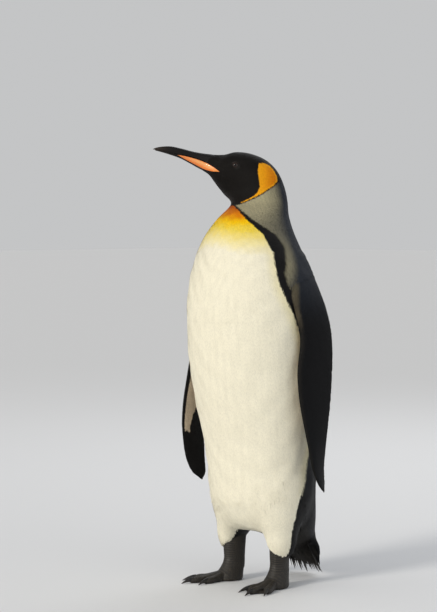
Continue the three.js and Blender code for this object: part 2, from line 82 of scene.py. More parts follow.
# %% [markdown]
# ## One frame for everything
#
# The formulas place the bird with its legs' axis over the origin, facing -Y, and the head is worked out
# looking straight ahead and turned afterwards. The frame's own origin lies a little to one side of that.
# A hand-typed offset would go stale, so it is measured from a piece whose place the formulas know: the
# middle of the left eyeball.

# %% From the formulas' place to the frame's
NECK_AXIS_Y = 5.0  # the upright axis that the head turns about
HEAD_TURN = -45.0  # degrees, towards the bird's right
TURN_STARTS, TURN_ENDS = 10.6, 15.0  # body stations between which the neck turns
EYE = np.array([28.5, -41.0, 838.5])  # middle of the left eyeball, head straight


def xyz(x, y, z):
    """Points or directions from their three coordinates."""
    return np.stack(np.broadcast_arrays(x, y, z), -1)


def turned(points, degrees):
    """Points turned about the neck's upright axis: x and y - axis are mixed by cosine and sine."""
    angle = np.radians(degrees)
    x, y = points[..., 0], points[..., 1] - NECK_AXIS_Y
    cosine, sine = np.cos(angle), np.sin(angle)
    return xyz(x * cosine - y * sine, x * sine + y * cosine + NECK_AXIS_Y, points[..., 2])


eye_low, eye_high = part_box("eye_left")
ORIGIN = (np.array(eye_low) + np.array(eye_high)) / 2 - turned(EYE, HEAD_TURN) * MM
print("formulas' origin in the frame", ORIGIN.round(5))

# %% [markdown]
# ## Curves and rings
#
# An animal has no straight edges, so each form is a loft: a row of rings whose middles and half axes
# pass smoothly through a few stations. A Catmull-Rom curve does that without any control handles, and a
# superellipse gives a ring that is a little squarer than an ellipse, as a full breast is.

# %% Smooth tables


def through(table, t):
    """Rows of a table, blended so that the value passes smoothly through row 0, 1, 2 at t = 0, 1, 2."""
    table = np.asarray(table, float)
    t = np.asarray(t, float)
    padded = np.vstack([2 * table[0] - table[1], table, 2 * table[-1] - table[-2]])
    i = np.clip(np.floor(t).astype(int), 0, len(table) - 2)
    u = (t - i)[..., None]
    a, b, c, d = (padded[i + k] for k in range(4))
    return b + 0.5 * u * (c - a + u * (2 * a - 5 * b + 4 * c - d + u * (3 * (b - c) + d - a)))


def signed_power(x, power):
    """|x| to a power, with the sign of x."""
    return np.sign(x) * np.abs(x) ** power


def smooth(x, low, high):
    """0 below low, 1 above high, and an S-shaped cubic between."""
    u = np.clip((x - low) / (high - low), 0, 1)
    return u * u * (3 - 2 * u)


print("half way from 1 to 4, a table of 0, 1 and 4 passes through", through([[0], [1], [4]], 1.5)[0])

# %% Rings and normals


def on_ring(centre, along, across, phi, squareness=2.0, bluntness=0.0):
    """centre - along * c + across * s, with c and s the cosine and sine of phi raised to 2 / squareness."""
    c = signed_power(np.cos(phi), 2 / squareness)[..., None]
    s = signed_power(np.sin(phi), 2 / squareness)[..., None]
    return centre - along * c + across * s * (1 + bluntness * c)


def middle_ring(rows, inset):
    """Centre, along and across of a ring from front y, front z, back y, back z and half width, made smaller
    all round by inset."""
    fy, fz, by, bz, half = np.moveaxis(rows, -1, 0)
    centre = xyz(0, (fy + by) / 2, (fz + bz) / 2)
    along = xyz(0, (by - fy) / 2, (bz - fz) / 2)
    along = along * (1 - np.asarray(inset)[..., None] / np.linalg.norm(along, axis=-1, keepdims=True))
    return centre, along, xyz(half - inset, 0, 0)


def unit(v):
    """Vectors divided by their own lengths."""
    return v / (np.linalg.norm(v, axis=-1, keepdims=True) + 1e-9)


def normals_of(surface, t, phi):
    """Unit normals of a surface, pointing away from the other side of the ring, and its speeds along t and
    phi, from small differences of its points."""
    step = 0.01
    by_t = (surface(t + step, phi) - surface(t - step, phi)) / (2 * step)
    by_phi = (surface(t, phi + step) - surface(t, phi - step)) / (2 * step)
    normal = unit(np.cross(by_phi, by_t))
    outward = surface(t, phi) - surface(t, phi + math.pi)
    return normal * np.sign((normal * outward).sum(-1, keepdims=True)), by_t, by_phi


quarter = on_ring(np.zeros(3), np.array([0, 1, 0]), np.array([1, 0, 0]), math.pi / 2)
print("a quarter round from -y, a ring about z is at", quarter.round(3))

# %% [markdown]
# ## Meshes from grids
#
# A closed loft is a grid whose columns meet round the ring, with a fan of triangles over each end. The
# face list is arithmetic on row and column numbers, so no vertex is visited one at a time. Whether the
# faces point outwards is read from the sign of the enclosed volume.

# %% Triangles of a loft


def two_triangles(a, b, c, d):
    """Each four-sided face as two triangles."""
    return np.concatenate([np.stack([a, b, c], -1).reshape(-1, 3), np.stack([a, c, d], -1).reshape(-1, 3)])


def loft_faces(rows, sides):
    """Triangles of a grid of rows * sides points closed round its sides, with two end points after them."""
    i, j = np.meshgrid(np.arange(rows - 1), np.arange(sides), indexing="ij")
    k = (j + 1) % sides
    walls = two_triangles(i * sides + j, i * sides + k, (i + 1) * sides + k, (i + 1) * sides + j)
    j, k = j[0], k[0]
    first, last = rows * sides, (rows - 1) * sides
    low = np.stack([np.full(sides, first), k, j], -1)
    high = np.stack([np.full(sides, first + 1), last + j, last + k], -1)
    return np.concatenate([walls, low, high])


def facing_out(points, faces):
    """Points and faces of a closed mesh, the faces turned round if the volume that they enclose, a sixth of
    the sum of their corners' triple products, is negative."""
    a, b, c = (points[faces[:, k]] for k in range(3))
    volume = np.einsum("ij,ij->i", a, np.cross(b, c)).sum() / 6
    return points, faces[:, ::-1] if volume < 0 else faces


def closed_loft(grid):
    """Points and outward triangles of a closed loft through a grid of rings (rows, sides, 3)."""
    points = np.concatenate([grid.reshape(-1, 3), [grid[0].mean(0), grid[-1].mean(0)]])
    return facing_out(points, loft_faces(*grid.shape[:2]))


def joined_lofts(grids):
    """Points and triangles of several closed lofts as one mesh."""
    points, faces, offset = [], [], 0
    for some_points, some_faces in map(closed_loft, grids):
        points.append(some_points)
        faces.append(some_faces + offset)
        offset += len(some_points)
    return np.concatenate(points), np.concatenate(faces)


print("a loft of 3 rings of 4 points has", len(loft_faces(3, 4)), "triangles")

# %% Meshes in the frame


def in_scene(name, data):
    """A new object in the scene."""
    made = bpy.data.objects.new(name, data)
    bpy.context.scene.collection.objects.link(made)
    return made


def new_object(name, points, faces):
    """An object at the origin whose mesh holds points given in millimetres in the formulas' place."""
    mesh = bpy.data.meshes.new(name)
    mesh.from_pydata((points * MM + ORIGIN).tolist(), [], faces.tolist())
    mesh.shade_smooth()
    return in_scene(name, mesh)


def set_attribute(made, name, values):
    """Stores one row of values per vertex: three numbers as a vector, four as a colour."""
    kind, key = ("FLOAT_VECTOR", "vector") if values.shape[1] == 3 else ("FLOAT_COLOR", "color")
    layer = made.data.attributes.new(name, kind, "POINT")
    layer.data.foreach_set(key, np.ascontiguousarray(values, np.float32).ravel())


def stored(made, key):
    """What a mesh stores for its vertices under a key: their coordinates or their normals."""
    flat = np.empty(3 * len(made.data.vertices), np.float32)
    made.data.vertices.foreach_get(key, flat)
    return flat.reshape(-1, 3)


def vertices_of(made):
    """A mesh's vertices in millimetres, in the formulas' place."""
    return (stored(made, "co") - ORIGIN) / MM


def move_vertices(made, points):
    """Sets a mesh's vertices to points given in millimetres in the formulas' place."""
    made.data.vertices.foreach_set("co", (points * MM + ORIGIN).astype(np.float32).ravel())
    made.data.update()


# %% [markdown]
# ## The body's stations
#
# The feathered body is one loft from the tail's root to the base of the bill. Each station gives the
# ring's front edge and back edge in the bird's middle plane, and its half width. The last two carry the
# feathered face forward onto the bill, where the real skin ends in a thin edge on the horn.

# %% Stations of the body
# Columns: front y, front z, back y, back z, half width. The first row is station -2, and station 0 is where
# the trunk begins.
BODY = np.array([
    [126, 40, 154, 52, 40],         # end of the tail's coverts
    [114, 53, 152, 75, 42],         # coverts
    [100, 66, 152, 96, 38],         # tail root
    [54, 86, 134, 146, 66],         # vent
    [6, 103, 121, 202, 88],         # rump
    [-42, 122, 119, 256, 103],      # groin
    [-74, 168, 117, 308, 112],      # thigh
    [-86, 228, 117, 356, 118],      # loin
    [-99, 296, 118, 402, 125],      # lower belly
    [-118, 368, 119, 448, 130],     # belly
    [-132, 440, 119, 494, 133],     # upper belly
    [-138, 512, 117, 541, 135],     # breast
    [-137, 580, 108, 590, 132],     # upper breast
    [-127, 640, 92, 640, 119],      # shoulder
    [-109, 690, 75, 692, 96],       # neck base
    [-82, 728, 66, 736, 72],        # lower throat
    [-51.5, 761.5, 63.5, 768, 51],  # throat
    [-66, 783, 56.5, 798, 44],      # jaw
    [-77, 797, 42, 828.5, 41],      # nape
    [-86, 809, 19, 850.5, 38.5],    # hind crown
    [-92, 817, -12, 863, 34],       # crown
    [-97, 822, -40, 866, 28],       # brow
    [-103, 826, -64, 861, 21],      # forehead
    [-110, 831, -93, 861, 13],      # edge of the feathers on the bill
], float)
FIRST = -2
BODY_END = len(BODY) + FIRST - 1
BODY_SQUARENESS = 2.08
print(len(BODY), "body stations, the widest of them", 2 * BODY[:, 4].max(), "mm")

# %% Stations of thigh and flipper
# Columns: height, centre x outwards, centre y, half x, half y, slope of the ring towards the other leg.
LEG_X = 63.0
THIGH = np.array([
    [82, 1, 1, 21.5, 29, 0.62],
    [88, 1, 1, 26, 33, 0.62],
    [104, 0.5, 1, 31.5, 37.5, 0.5],
    [128, -1, 3, 37, 43, 0.3],
    [160, -3, 5, 44, 52, 0.1],
    [196, -6, 8, 47, 56, 0],
    [240, -9, 12, 40, 52, 0],
], float)

# Columns: leading edge x, y, z, trailing edge x, y, z, half thickness, from the shoulder to the tip.
FLIPPER = np.array([
    [84, -34, 648, 82, 38, 658, 13],
    [124, -40, 598, 121.5, 42, 606, 13.5],
    [140, -34, 545, 145, 50, 545, 11.5],
    [148, -31, 494, 155, 52, 492, 9.5],
    [149, -40, 438, 158, 49.5, 436, 8],
    [150, -37, 386, 158, 45.5, 382, 7],
    [153, -28, 336, 156, 41, 332, 6],
    [158, -19, 287, 152.5, 37.5, 284, 5],
    [160, -9, 245, 149.5, 36, 242, 4.2],
    [160, 7, 215, 149, 38, 212, 3.2],
    [156, 25, 199, 152, 34, 198, 1.6],
], float)
FLIPPER_BLUNTNESS = 0.35
FLIPPER_REACH = {1: (0, 0, 0), -1: (7, -28, 0)}  # how far each side's hand is held out and forward
REACH_STARTS, REACH_ENDS = 3.4, 6.6
print(len(THIGH), "thigh stations,", len(FLIPPER), "flipper stations")

# %% [markdown]
# ## The surfaces
#
# Three functions give every point of the feathered bird. The coat has a real depth, so the skin lies
# inside the solids by that much, and the feathers reach back out to them. The depth is greatest on the
# trunk and almost nothing on the face and flippers, as on the living bird.

# %% Depth of the coat
COAT_TRUNK, COAT_HEAD, COAT_FLIPPER, COAT_BILL = 2.0, 0.9, 0.7, 0.5  # how deep the skin lies in the coat
RUFFLE = 0.8  # how deep the soft dents in the trunk's coat are


def coat_depth(t):
    """The coat's depth along the body: the trunk's, easing to the head's over the neck and to the bill's."""
    depth = COAT_TRUNK + (COAT_HEAD - COAT_TRUNK) * smooth(t, 12.5, 15.5)
    return depth - (COAT_HEAD - COAT_BILL) * smooth(t, 20, BODY_END)


def ruffle(t, phi):
    """Soft dents in the trunk's coat, in millimetres: sines of station and angle, each bent by the other."""
    broad = np.sin(7 * phi + 1.5 * np.sin(2.3 * t)) * np.sin(3.7 * t + 1.2 * np.sin(3 * phi))
    small = np.sin(13 * phi + 2.1 * t) * np.sin(6.1 * t + 2.0 * np.cos(5 * phi))
    return RUFFLE * (broad + 0.6 * small) * smooth(t, 2, 4) * (1 - smooth(t, 11, 12.5))


print("coat on belly, crown and bill", coat_depth(np.array([8, 18, BODY_END])).round(2), "mm deep")

# %% Body surface


def straight_body(t, phi, inset=None):
    """The body with its head straight: rings through the stations, phi from the front towards the left. Its
    inset is the coat's depth unless another is given."""
    inset = coat_depth(t) + ruffle(t, phi) if inset is None else np.full_like(t, inset)
    return on_ring(*middle_ring(through(BODY, t - FIRST), inset), phi, BODY_SQUARENESS)


def body(t, phi):
    """The skin of the body, each ring turned about the neck's axis by its share of the head's turn."""
    return turned(straight_body(t, phi), HEAD_TURN * smooth(t, TURN_STARTS, TURN_ENDS))


def ring_grid(start, end, rows, sides):
    """Grids of a station from start to end, and of the angle once round."""
    return np.meshgrid(np.linspace(start, end, rows), np.arange(sides) * TURN / sides, indexing="ij")


breast = body(*ring_grid(9, 10, 2, 180))[0]
print("girth of the breast", round(np.linalg.norm(np.diff(breast, axis=0), axis=1).sum()), "mm")

# %% Thigh and flipper surfaces


def upright(side, stations, t, phi, inset=0.0, out=0.0):
    """Sloping rings about an upright axis, phi from the front outwards."""
    height, x, y, half_x, half_y, slope = np.moveaxis(through(stations, t), -1, 0)
    half_x, half_y = half_x - inset, half_y - inset
    centre = xyz(side * (out + x), y, height - slope * x)
    return on_ring(centre, xyz(0, half_y, 0), xyz(side * half_x, 0, -slope * half_x), phi)


def thigh(side, t, phi):
    """The skin of a thigh, about the leg's axis."""
    return upright(side, THIGH, t, phi, COAT_TRUNK, LEG_X)


def flipper(side, t, phi):
    """The skin of a flipper: thin rings from leading to trailing edge, phi from the leading edge over the
    outer face."""
    rows = through(FLIPPER, t)
    leading, trailing, half = rows[..., :3], rows[..., 3:6], rows[..., 6]
    along = (trailing - leading) / 2
    across = xyz(along[..., 1], -along[..., 0], 0)
    across *= ((half - COAT_FLIPPER) / np.linalg.norm(across, axis=-1))[..., None]
    along = along * (1 - COAT_FLIPPER / np.linalg.norm(along, axis=-1, keepdims=True))
    held = smooth(t, REACH_STARTS, REACH_ENDS)[..., None]
    centre = (leading + trailing) / 2 + held * np.array(FLIPPER_REACH[side])
    return on_ring(centre, along, across, phi, 2.0, FLIPPER_BLUNTNESS) * np.array([side, 1, 1])


print("tip of the left flipper", flipper(1, 10.0, 0.0).round(1), "mm")

# %% [markdown]
# ## Markings
#
# A king penguin's pattern is drawn by its feathers' tips, so skin and coat ask the same functions for
# their colour. On the trunk an edge is an angle from the breast's middle line that changes with the
# station. On the head the natural ruler is a side view, so the ear patch and the border of the black
# hood are lines in the head's own middle plane. Painting an image would be quicker, but it would stretch
# over the curves, and it couldn't follow a change of shape.

# %% Colours of the plumage


def colour(red, green, blue):
    """Screen values from 0 to 255 as linear light: shares to the power 2.4, past a small straight start."""
    v = np.array([red, green, blue]) / 255
    return np.where(v <= 0.04045, v / 12.92, ((v + 0.055) / 1.055) ** 2.4)


WHITE = colour(240, 234, 212)
CREAM = colour(240, 227, 168)
LEMON = colour(236, 210, 80)
GOLD = colour(240, 194, 4)
ORANGE = colour(220, 130, 2)
RUST = colour(170, 80, 2)
HOOD = colour(16, 13, 11)
BORDER = colour(14, 13, 14)
# SLATE is darker than the back's own slate-blue: part of it is painted shade.
SLATE = colour(33, 37, 45)
SILVER = colour(158, 151, 122)
# painted shade below the belly, between the legs:
UNDERSIDE_SHADE = colour(26, 24, 21)
EAR_DEEP = colour(214, 126, 6)
EAR_BRIGHT = colour(234, 160, 20)
# the flipper's inner face: its white painted as it looks in shade
INNER_WHITE_IN_SHADE = colour(196, 180, 160)
LEADING_PALE = colour(66, 60, 48)
OUTER_DARK = colour(14, 14, 16)
print("white and slate as linear light", WHITE.round(3), SLATE.round(3))

# %% Edges of the markings
# The white front's edge, the black border's rear edge and the silver's rear edge: station, degrees.
WHITE_EDGE = np.array([
    [1.9, 36], [2.2, 42], [2.6, 54], [3.3, 72], [3.8, 87], [5, 101], [7, 100], [8.4, 92], [9.3, 83],
    [10.0, 74], [10.5, 69.5], [10.9, 67.5], [11.2, 69], [11.6, 73.5], [12.4, 76], [12.75, 70.5], [13.1, 64],
    [13.4, 56], [13.7, 42], [13.95, 25], [14.1, 0],
])
BORDER_EDGE = np.array([
    [9.3, 84], [9.9, 87], [10.2, 84], [10.5, 78], [10.9, 77], [11.2, 82], [11.5, 87], [11.9, 93.5],
    [12.4, 92.5], [12.75, 83], [13.1, 73], [13.4, 64], [13.7, 49], [14, 29], [14.2, 12],
])
SILVER_EDGE = np.array([
    [10.2, 80], [10.7, 86], [11.0, 91], [11.6, 101], [12.3, 112], [13.2, 124], [14.1, 134], [15, 142],
])
# How bright the silver is at each station of the neck: dimmest where the shoulder folds into it. The dimming
# there is painted shade.
SILVER_SHARE = np.array([
    [10.1, 0], [10.5, 0.72], [11.2, 0.85], [11.8, 0.66], [12.4, 0.46], [12.9, 0.52], [13.5, 0.8], [14.2, 1],
])
# The thigh's white front on its outer and its inner side: station, degrees.
THIGH_OUTER_EDGE = np.array([
    [0, 48], [0.5, 62], [1, 74], [1.5, 83], [2, 89], [3, 86], [4, 88], [5, 94], [6, 100],
])
THIGH_INNER_EDGE = np.array([[0, 38], [1, 50], [2, 70], [2.6, 90], [3.2, 118]])
# In the head's middle plane: millimetres ahead of the neck's axis, and height.
HOOD_LINE = np.array([
    [-70, 827], [-45, 815], [-35, 807], [-26, 799], [-8, 787.5], [13, 776], [33, 767.5], [45, 763],
    [56, 761], [90, 760],
], float)
EAR_PATCH = np.array([
    [3, 845], [-8, 846], [-19, 841], [-28, 832], [-35, 820], [-35, 811], [-26, 801.5], [-8, 790],
    [13, 778.5], [33, 769.5], [46, 764.6], [46, 765.4], [33, 771.3], [20, 777.8], [6, 787.5], [0, 801],
    [3, 818], [5, 832],
], float)
print("the ear patch spans", np.ptp(EAR_PATCH, axis=0).round(), "mm forward and up")

# %% Reading edges and blending colours


def look_up(table, x):
    """A table's second column, in straight lines between the values of its first."""
    return np.interp(x, table[:, 0], table[:, 1])


def at(edge, t):
    """The angle of an edge at a station, in radians."""
    return np.radians(look_up(edge, t))


def from_front(phi):
    """How far round an angle is from the front, alike on both sides."""
    return np.abs((phi + math.pi) % TURN - math.pi)


def inside_outline(outline, y, z):
    """Signed distance to a closed outline, positive inside: the nearest point of each side, and an even-odd
    count of the sides above the point."""
    a, b = outline, np.roll(outline, -1, axis=0)
    p = np.stack([y, z], -1)[:, None, :]
    side = (b - a)[None]
    share = np.clip(((p - a) * side).sum(-1) / (side ** 2).sum(-1), 0, 1)
    distance = np.linalg.norm(p - a - share[..., None] * side, axis=-1).min(1)
    crossed = (a[:, 0] > p[..., 0]) != (b[:, 0] > p[..., 0])
    run = np.where(np.abs(b[:, 0] - a[:, 0]) < 1e-9, 1e-9, b[:, 0] - a[:, 0])
    height = a[:, 1] + (p[..., 0] - a[:, 0]) * (b[:, 1] - a[:, 1]) / run
    odd = (crossed & (height > p[..., 1])).sum(1) % 2 == 1
    return np.where(odd, distance, -distance)


def wander(points, scale, seed=0.0):
    """A soft wave field between about -1 and 1: sines of the coordinates, a scale apart, at odd angles."""
    x, y, z = np.moveaxis(points / scale, -1, 0)
    return (
        np.sin(1.7 * x + 2.3 * y + 1.1 * z + seed)
        + np.sin(-2.1 * x + 1.3 * y + 2.7 * z + 2.1 * seed + 1.3)
        + np.sin(2.9 * x - 1.9 * y + 0.7 * z + 3.7 * seed + 4.1)
    ) / 3


def mix(a, b, share):
    """a where share is 0 and b where it is 1, colour by colour."""
    return a + (b - a) * share[:, None]


def ramp(stops, x):
    """Colours blended between stops of (position, colour)."""
    at_stops = [position for position, _ in stops]
    return np.stack([np.interp(x, at_stops, [c[k] for _, c in stops]) for k in range(3)], -1)


print("at station 8 the white ends", np.degrees(at(WHITE_EDGE, 8)).round(), "degrees from the front")

# %% Colours of the body
BIB = [(0.0, WHITE), (0.24, CREAM), (0.52, LEMON), (0.68, GOLD), (0.82, ORANGE), (0.97, RUST)]
BIB_LOW, BIB_DROOP, BIB_TOP = 681, 13, 760  # heights of its lower edge in the middle, its droop, and its top
# How much a feather's root is darker than its tip, for each kind of plumage: partly the paler tips that the
# feathers have, partly painted shade where the next feathers cover the roots.
BACK_CONTRAST, FRONT_CONTRAST, HOOD_CONTRAST, EAR_CONTRAST = 0.42, 0.06, 0.10, 0.12
THIGH_CONTRAST, OUTER_CONTRAST, INNER_CONTRAST = 0.35, 0.22, 0.08


def body_colour(t, phi):
    """Colour and contrast of the body's plumage at each station and angle."""
    point = straight_body(t, phi, 0.0)
    around, ahead, height = from_front(phi), NECK_AXIS_Y - point[:, 1], point[:, 2]
    ragged = np.radians(0.6) * wander(point, 4.0, 1.0)
    # the back, with silver sides to the neck; painted shade darkens it to near black towards the rump
    within = np.degrees(at(SILVER_EDGE, t) - around) / (0.45 + 0.55 * smooth(t, 11.6, 13.0))
    silver = np.interp(within, [-8, 3, 14, 40], [0, 0.25, 0.62, 1]) * (1 + 0.12 * wander(point, 3.0, 4.0))
    silver = silver * look_up(SILVER_SHARE, t)
    made = mix(SLATE, BORDER, 0.9 * (1 - smooth(t, 2.5, 8.0)))
    made = mix(made, SILVER, silver)
    contrast = BACK_CONTRAST - 0.2 * silver
    # the black border that runs down from the throat
    border = smooth(at(BORDER_EDGE, t) + ragged - around, np.radians(-2.5), np.radians(2.5))
    made = mix(made, BORDER, border)
    # the white front, with its yellow bib
    soft = np.radians(0.8 + 2.4 * (1 - smooth(t, 5.0, 8.0)))
    front = smooth((at(WHITE_EDGE, t) + ragged - around) / soft, -1, 1) * smooth(t, 1.9, 2.1)
    low = BIB_LOW - BIB_DROOP * smooth(around, np.radians(5), np.radians(45))
    bib = ramp(BIB, (height - low + 3 * wander(point, 9.0, 2.0)) / (BIB_TOP - low))
    # a cream tint along the white's edge below the bib: partly the plumage's own cream, partly painted warm
    # bounce light
    edge_cream_and_bounce = smooth(around, at(WHITE_EDGE, t) - 0.24, at(WHITE_EDGE, t)) * smooth(t, 2.2, 5)
    bib = mix(bib, CREAM, 0.5 * edge_cream_and_bounce * (1 - smooth(height, low, low + 20)))
    made = mix(made, bib, front)
    contrast += (FRONT_CONTRAST - contrast) * front
    # painted shade below the belly, between the legs
    underside_shade = (1 - smooth(t, 1.9, 2.1)) * (around < np.radians(75))
    made = mix(made, UNDERSIDE_SHADE, underside_shade)
    # the black hood, and the ear patch on each side of it
    hood = smooth(height - look_up(HOOD_LINE, ahead), -0.9, 0.9) * (t > 12)
    made = mix(made, HOOD, hood)
    contrast += (HOOD_CONTRAST - contrast) * hood
    near = (t > 12.5) & (ahead < 40)
    inside = np.full(len(t), -50.0)
    inside[near] = inside_outline(EAR_PATCH, ahead[near], height[near])
    inside += 0.5 * wander(point, 2.5, 3.0)
    patch = smooth(inside, -0.6, 0.6)
    gold = mix(EAR_BRIGHT, EAR_DEEP, smooth(ahead, 2, -30) * smooth(inside, 0.5, 4.0))
    made = mix(made, gold, patch)
    contrast += (EAR_CONTRAST - contrast) * patch
    return np.column_stack([made, contrast])


sample = body_colour(np.array([8.0, 8.0, 19.0]), np.array([0.0, math.pi, math.pi / 2]))
print("breast, back and crown colours", sample[:, :3].round(3).tolist())

# %% Colours of thigh and flipper


def thigh_colour(side, t, phi):
    """The thigh: white in front, and black behind an edge that curls forward at the hem."""
    edge = np.where(np.sin(phi) > 0, look_up(THIGH_OUTER_EDGE, t), look_up(THIGH_INNER_EDGE, t))
    ragged = 2.0 * wander(thigh(side, t, phi), 4.0, 5.0)
    front = smooth(np.radians(edge + ragged) - from_front(phi), np.radians(-1.6), np.radians(1.6))
    contrast = THIGH_CONTRAST + (FRONT_CONTRAST - THIGH_CONTRAST) * front
    return np.column_stack([mix(BORDER, WHITE, front), contrast])


def flipper_colour(side, t, phi):
    """The flipper: slate outside with a paler leading edge, and inside its white underside in painted shade,
    with black edges and tip.
    """
    point, c = flipper(side, t, phi), np.cos(phi)
    at_shoulder = 1 - smooth(t, 0.5, 1.7)
    paler = smooth(c, 0.80 - 0.45 * at_shoulder, 0.97 - 0.2 * at_shoulder) * (1 - 0.9 * smooth(t, 1.8, 2.6))
    outer = mix(OUTER_DARK, SLATE, 1 - smooth(t, 0.4, 2.4))
    leading = mix(LEADING_PALE, SILVER, 0.2 * at_shoulder)
    outer = mix(outer, leading, paler * (1 + 0.12 * wander(point, 3.0, 4.0)))
    tip = smooth(t - 0.9 * smooth(c, 0.1, 0.55) + 0.12 * wander(point, 6.0, 7.0), 5.72, 5.86)
    black = np.maximum.reduce([smooth(c, 0.84, 0.9), smooth(-c, 0.9, 0.96), tip])
    inner = smooth(-np.sin(phi), -0.05, 0.12)
    made = mix(outer, mix(INNER_WHITE_IN_SHADE, BORDER, black), inner)
    return np.column_stack([made, OUTER_CONTRAST + (INNER_CONTRAST - OUTER_CONTRAST) * inner])


sample = flipper_colour(1, np.array([4.0, 4.0]), np.array([math.pi / 2, -math.pi / 2]))
print("outer and inner face of a flipper", sample[:, :3].round(3).tolist())

# %% [markdown]
# ## One skin
#
# Trunk, neck, head, thighs and flippers are one animal, so their surfaces are joined into a single
# closed mesh. The lofts could be sunk into each other and left so, but their hidden inner walls would
# stay in the exported mesh. A Boolean union removes them and leaves one surface. A light smoothing then
# rounds the creases where limb meets body.

# %% Join the lofts into the skin


def apply_modifiers(made):
    """Replaces the object's mesh by what its modifiers make of it."""
    bpy.context.view_layer.update()
    result = bpy.data.meshes.new_from_object(made.evaluated_get(bpy.context.evaluated_depsgraph_get()))
    made.modifiers.clear()
    made.data = result


def modify(made, kind, **settings):
    """Gives an object a modifier with its settings."""
    modifier = made.modifiers.new(kind.lower(), kind)
    for key, value in settings.items():
        setattr(modifier, key, value)


def tinted_loft(name, surface, colour_of, start, end, rows, sides):
    """A closed loft whose vertices carry the colour that the markings have there."""
    t, phi = ring_grid(start, end, rows, sides)
    made = new_object(name, *closed_loft(surface(t, phi)))
    tint = colour_of(t.ravel(), phi.ravel())
    set_attribute(made, "tint", np.concatenate([tint, tint[:1], tint[-1:]]))
    return made


def join(made, other):
    """A Boolean union of the two, which keeps the first and removes the second."""
    modify(made, "BOOLEAN", operation="UNION", solver="MANIFOLD", object=other)
    apply_modifiers(made)
    bpy.data.objects.remove(other)


def nearest(made, points):
    """The nearest place to each point on an object's surface, by Shrinkwrap."""
    probe = new_object("probe", points, np.empty((0, 3), int))
    modify(probe, "SHRINKWRAP", target=made)
    bpy.context.view_layer.update()
    found = vertices_of(probe.evaluated_get(bpy.context.evaluated_depsgraph_get()))
    bpy.data.objects.remove(probe)
    return found


lofts = [tinted_loft("body_loft", body, body_colour, FIRST, BODY_END, 260, 120)]
for surface, colour_of, end, rows, sides in (
    (thigh, thigh_colour, 6, 36, 48),
    (flipper, flipper_colour, 10, 110, 44),
):
    for _, side in SIDES:
        one_side = partial(surface, side), partial(colour_of, side)
        lofts.append(tinted_loft("loft", *one_side, 0, end, rows, sides))
skin = in_scene("skin", lofts[0].data.copy())
for other in lofts[1:]:
    join(skin, in_scene("other", other.data.copy()))
union_skin = in_scene("union_skin", skin.data.copy())  # tells later which roots of feathers lie outside
print("joined", len(lofts), "lofts into", len(skin.data.polygons), "faces")

# %% Fill the creases between them
FIRST_FLIPPER = 3  # the lofts are the body, two thighs and two flippers
FILL_REACH, SHOULDER_REACH = 30.0, 18.0  # how far off the flesh starts to fill a crease
SHOULDER_LOW, SHOULDER_HIGH = 545, 610  # heights between which a flipper's filling sets in


def fill(points, normals):
    """Points moved to fill a crease, and their new normals: by a quarter of the reach times the square of
    1 - distance / reach, with the distance to the nearest other loft, and in a direction that turns from the
    point's own normal to half way between both. Flippers are only filled at the shoulder."""
    distance = np.stack([np.linalg.norm(nearest(loft, points) - points, axis=1) for loft in lofts])
    own = distance.argmin(0)
    amount, facing = np.zeros(len(points)), normals.copy()
    lifted = points + 3 * normals
    for index, loft in enumerate(lofts):
        shoulder = (own >= FIRST_FLIPPER) | (index >= FIRST_FLIPPER)
        reach = np.where(shoulder, SHOULDER_REACH, FILL_REACH)
        closeness = np.clip(1 - distance[index] / reach, 0, 1) * (own != index)
        closeness = closeness * np.where(shoulder, smooth(points[:, 2], SHOULDER_LOW, SHOULDER_HIGH), 1.0)
        raised = reach / 4 * closeness ** 2
        away = unit(lifted - nearest(loft, lifted))
        direction = unit(normals + away * closeness[:, None])
        more = raised > amount
        amount = np.where(more, raised, amount)
        facing = np.where(more[:, None], direction, facing)
    return points + facing * amount[:, None], facing


filled, _ = fill(vertices_of(skin), stored(skin, "normal"))
move_vertices(skin, filled)
modify(skin, "SMOOTH", iterations=3)
apply_modifiers(skin)
print("skin", len(skin.data.polygons), "faces")

# %% [markdown]
# ## How a coat of feathers is laid
#
# Penguin feathers stand in rows, each overlapping the next like slates, so the roots are laid the same
# way: rows at even steps along the body, staggered from row to row, and shaken a little. The rows are
# spaced for the widest place, and where they crowd, as under the throat, roots are thinned at random to
# keep the same density. Particle hair could do this with a brush, but it isn't a mesh, and it wouldn't
# reach the exported model.

# %% Roots in staggered rows


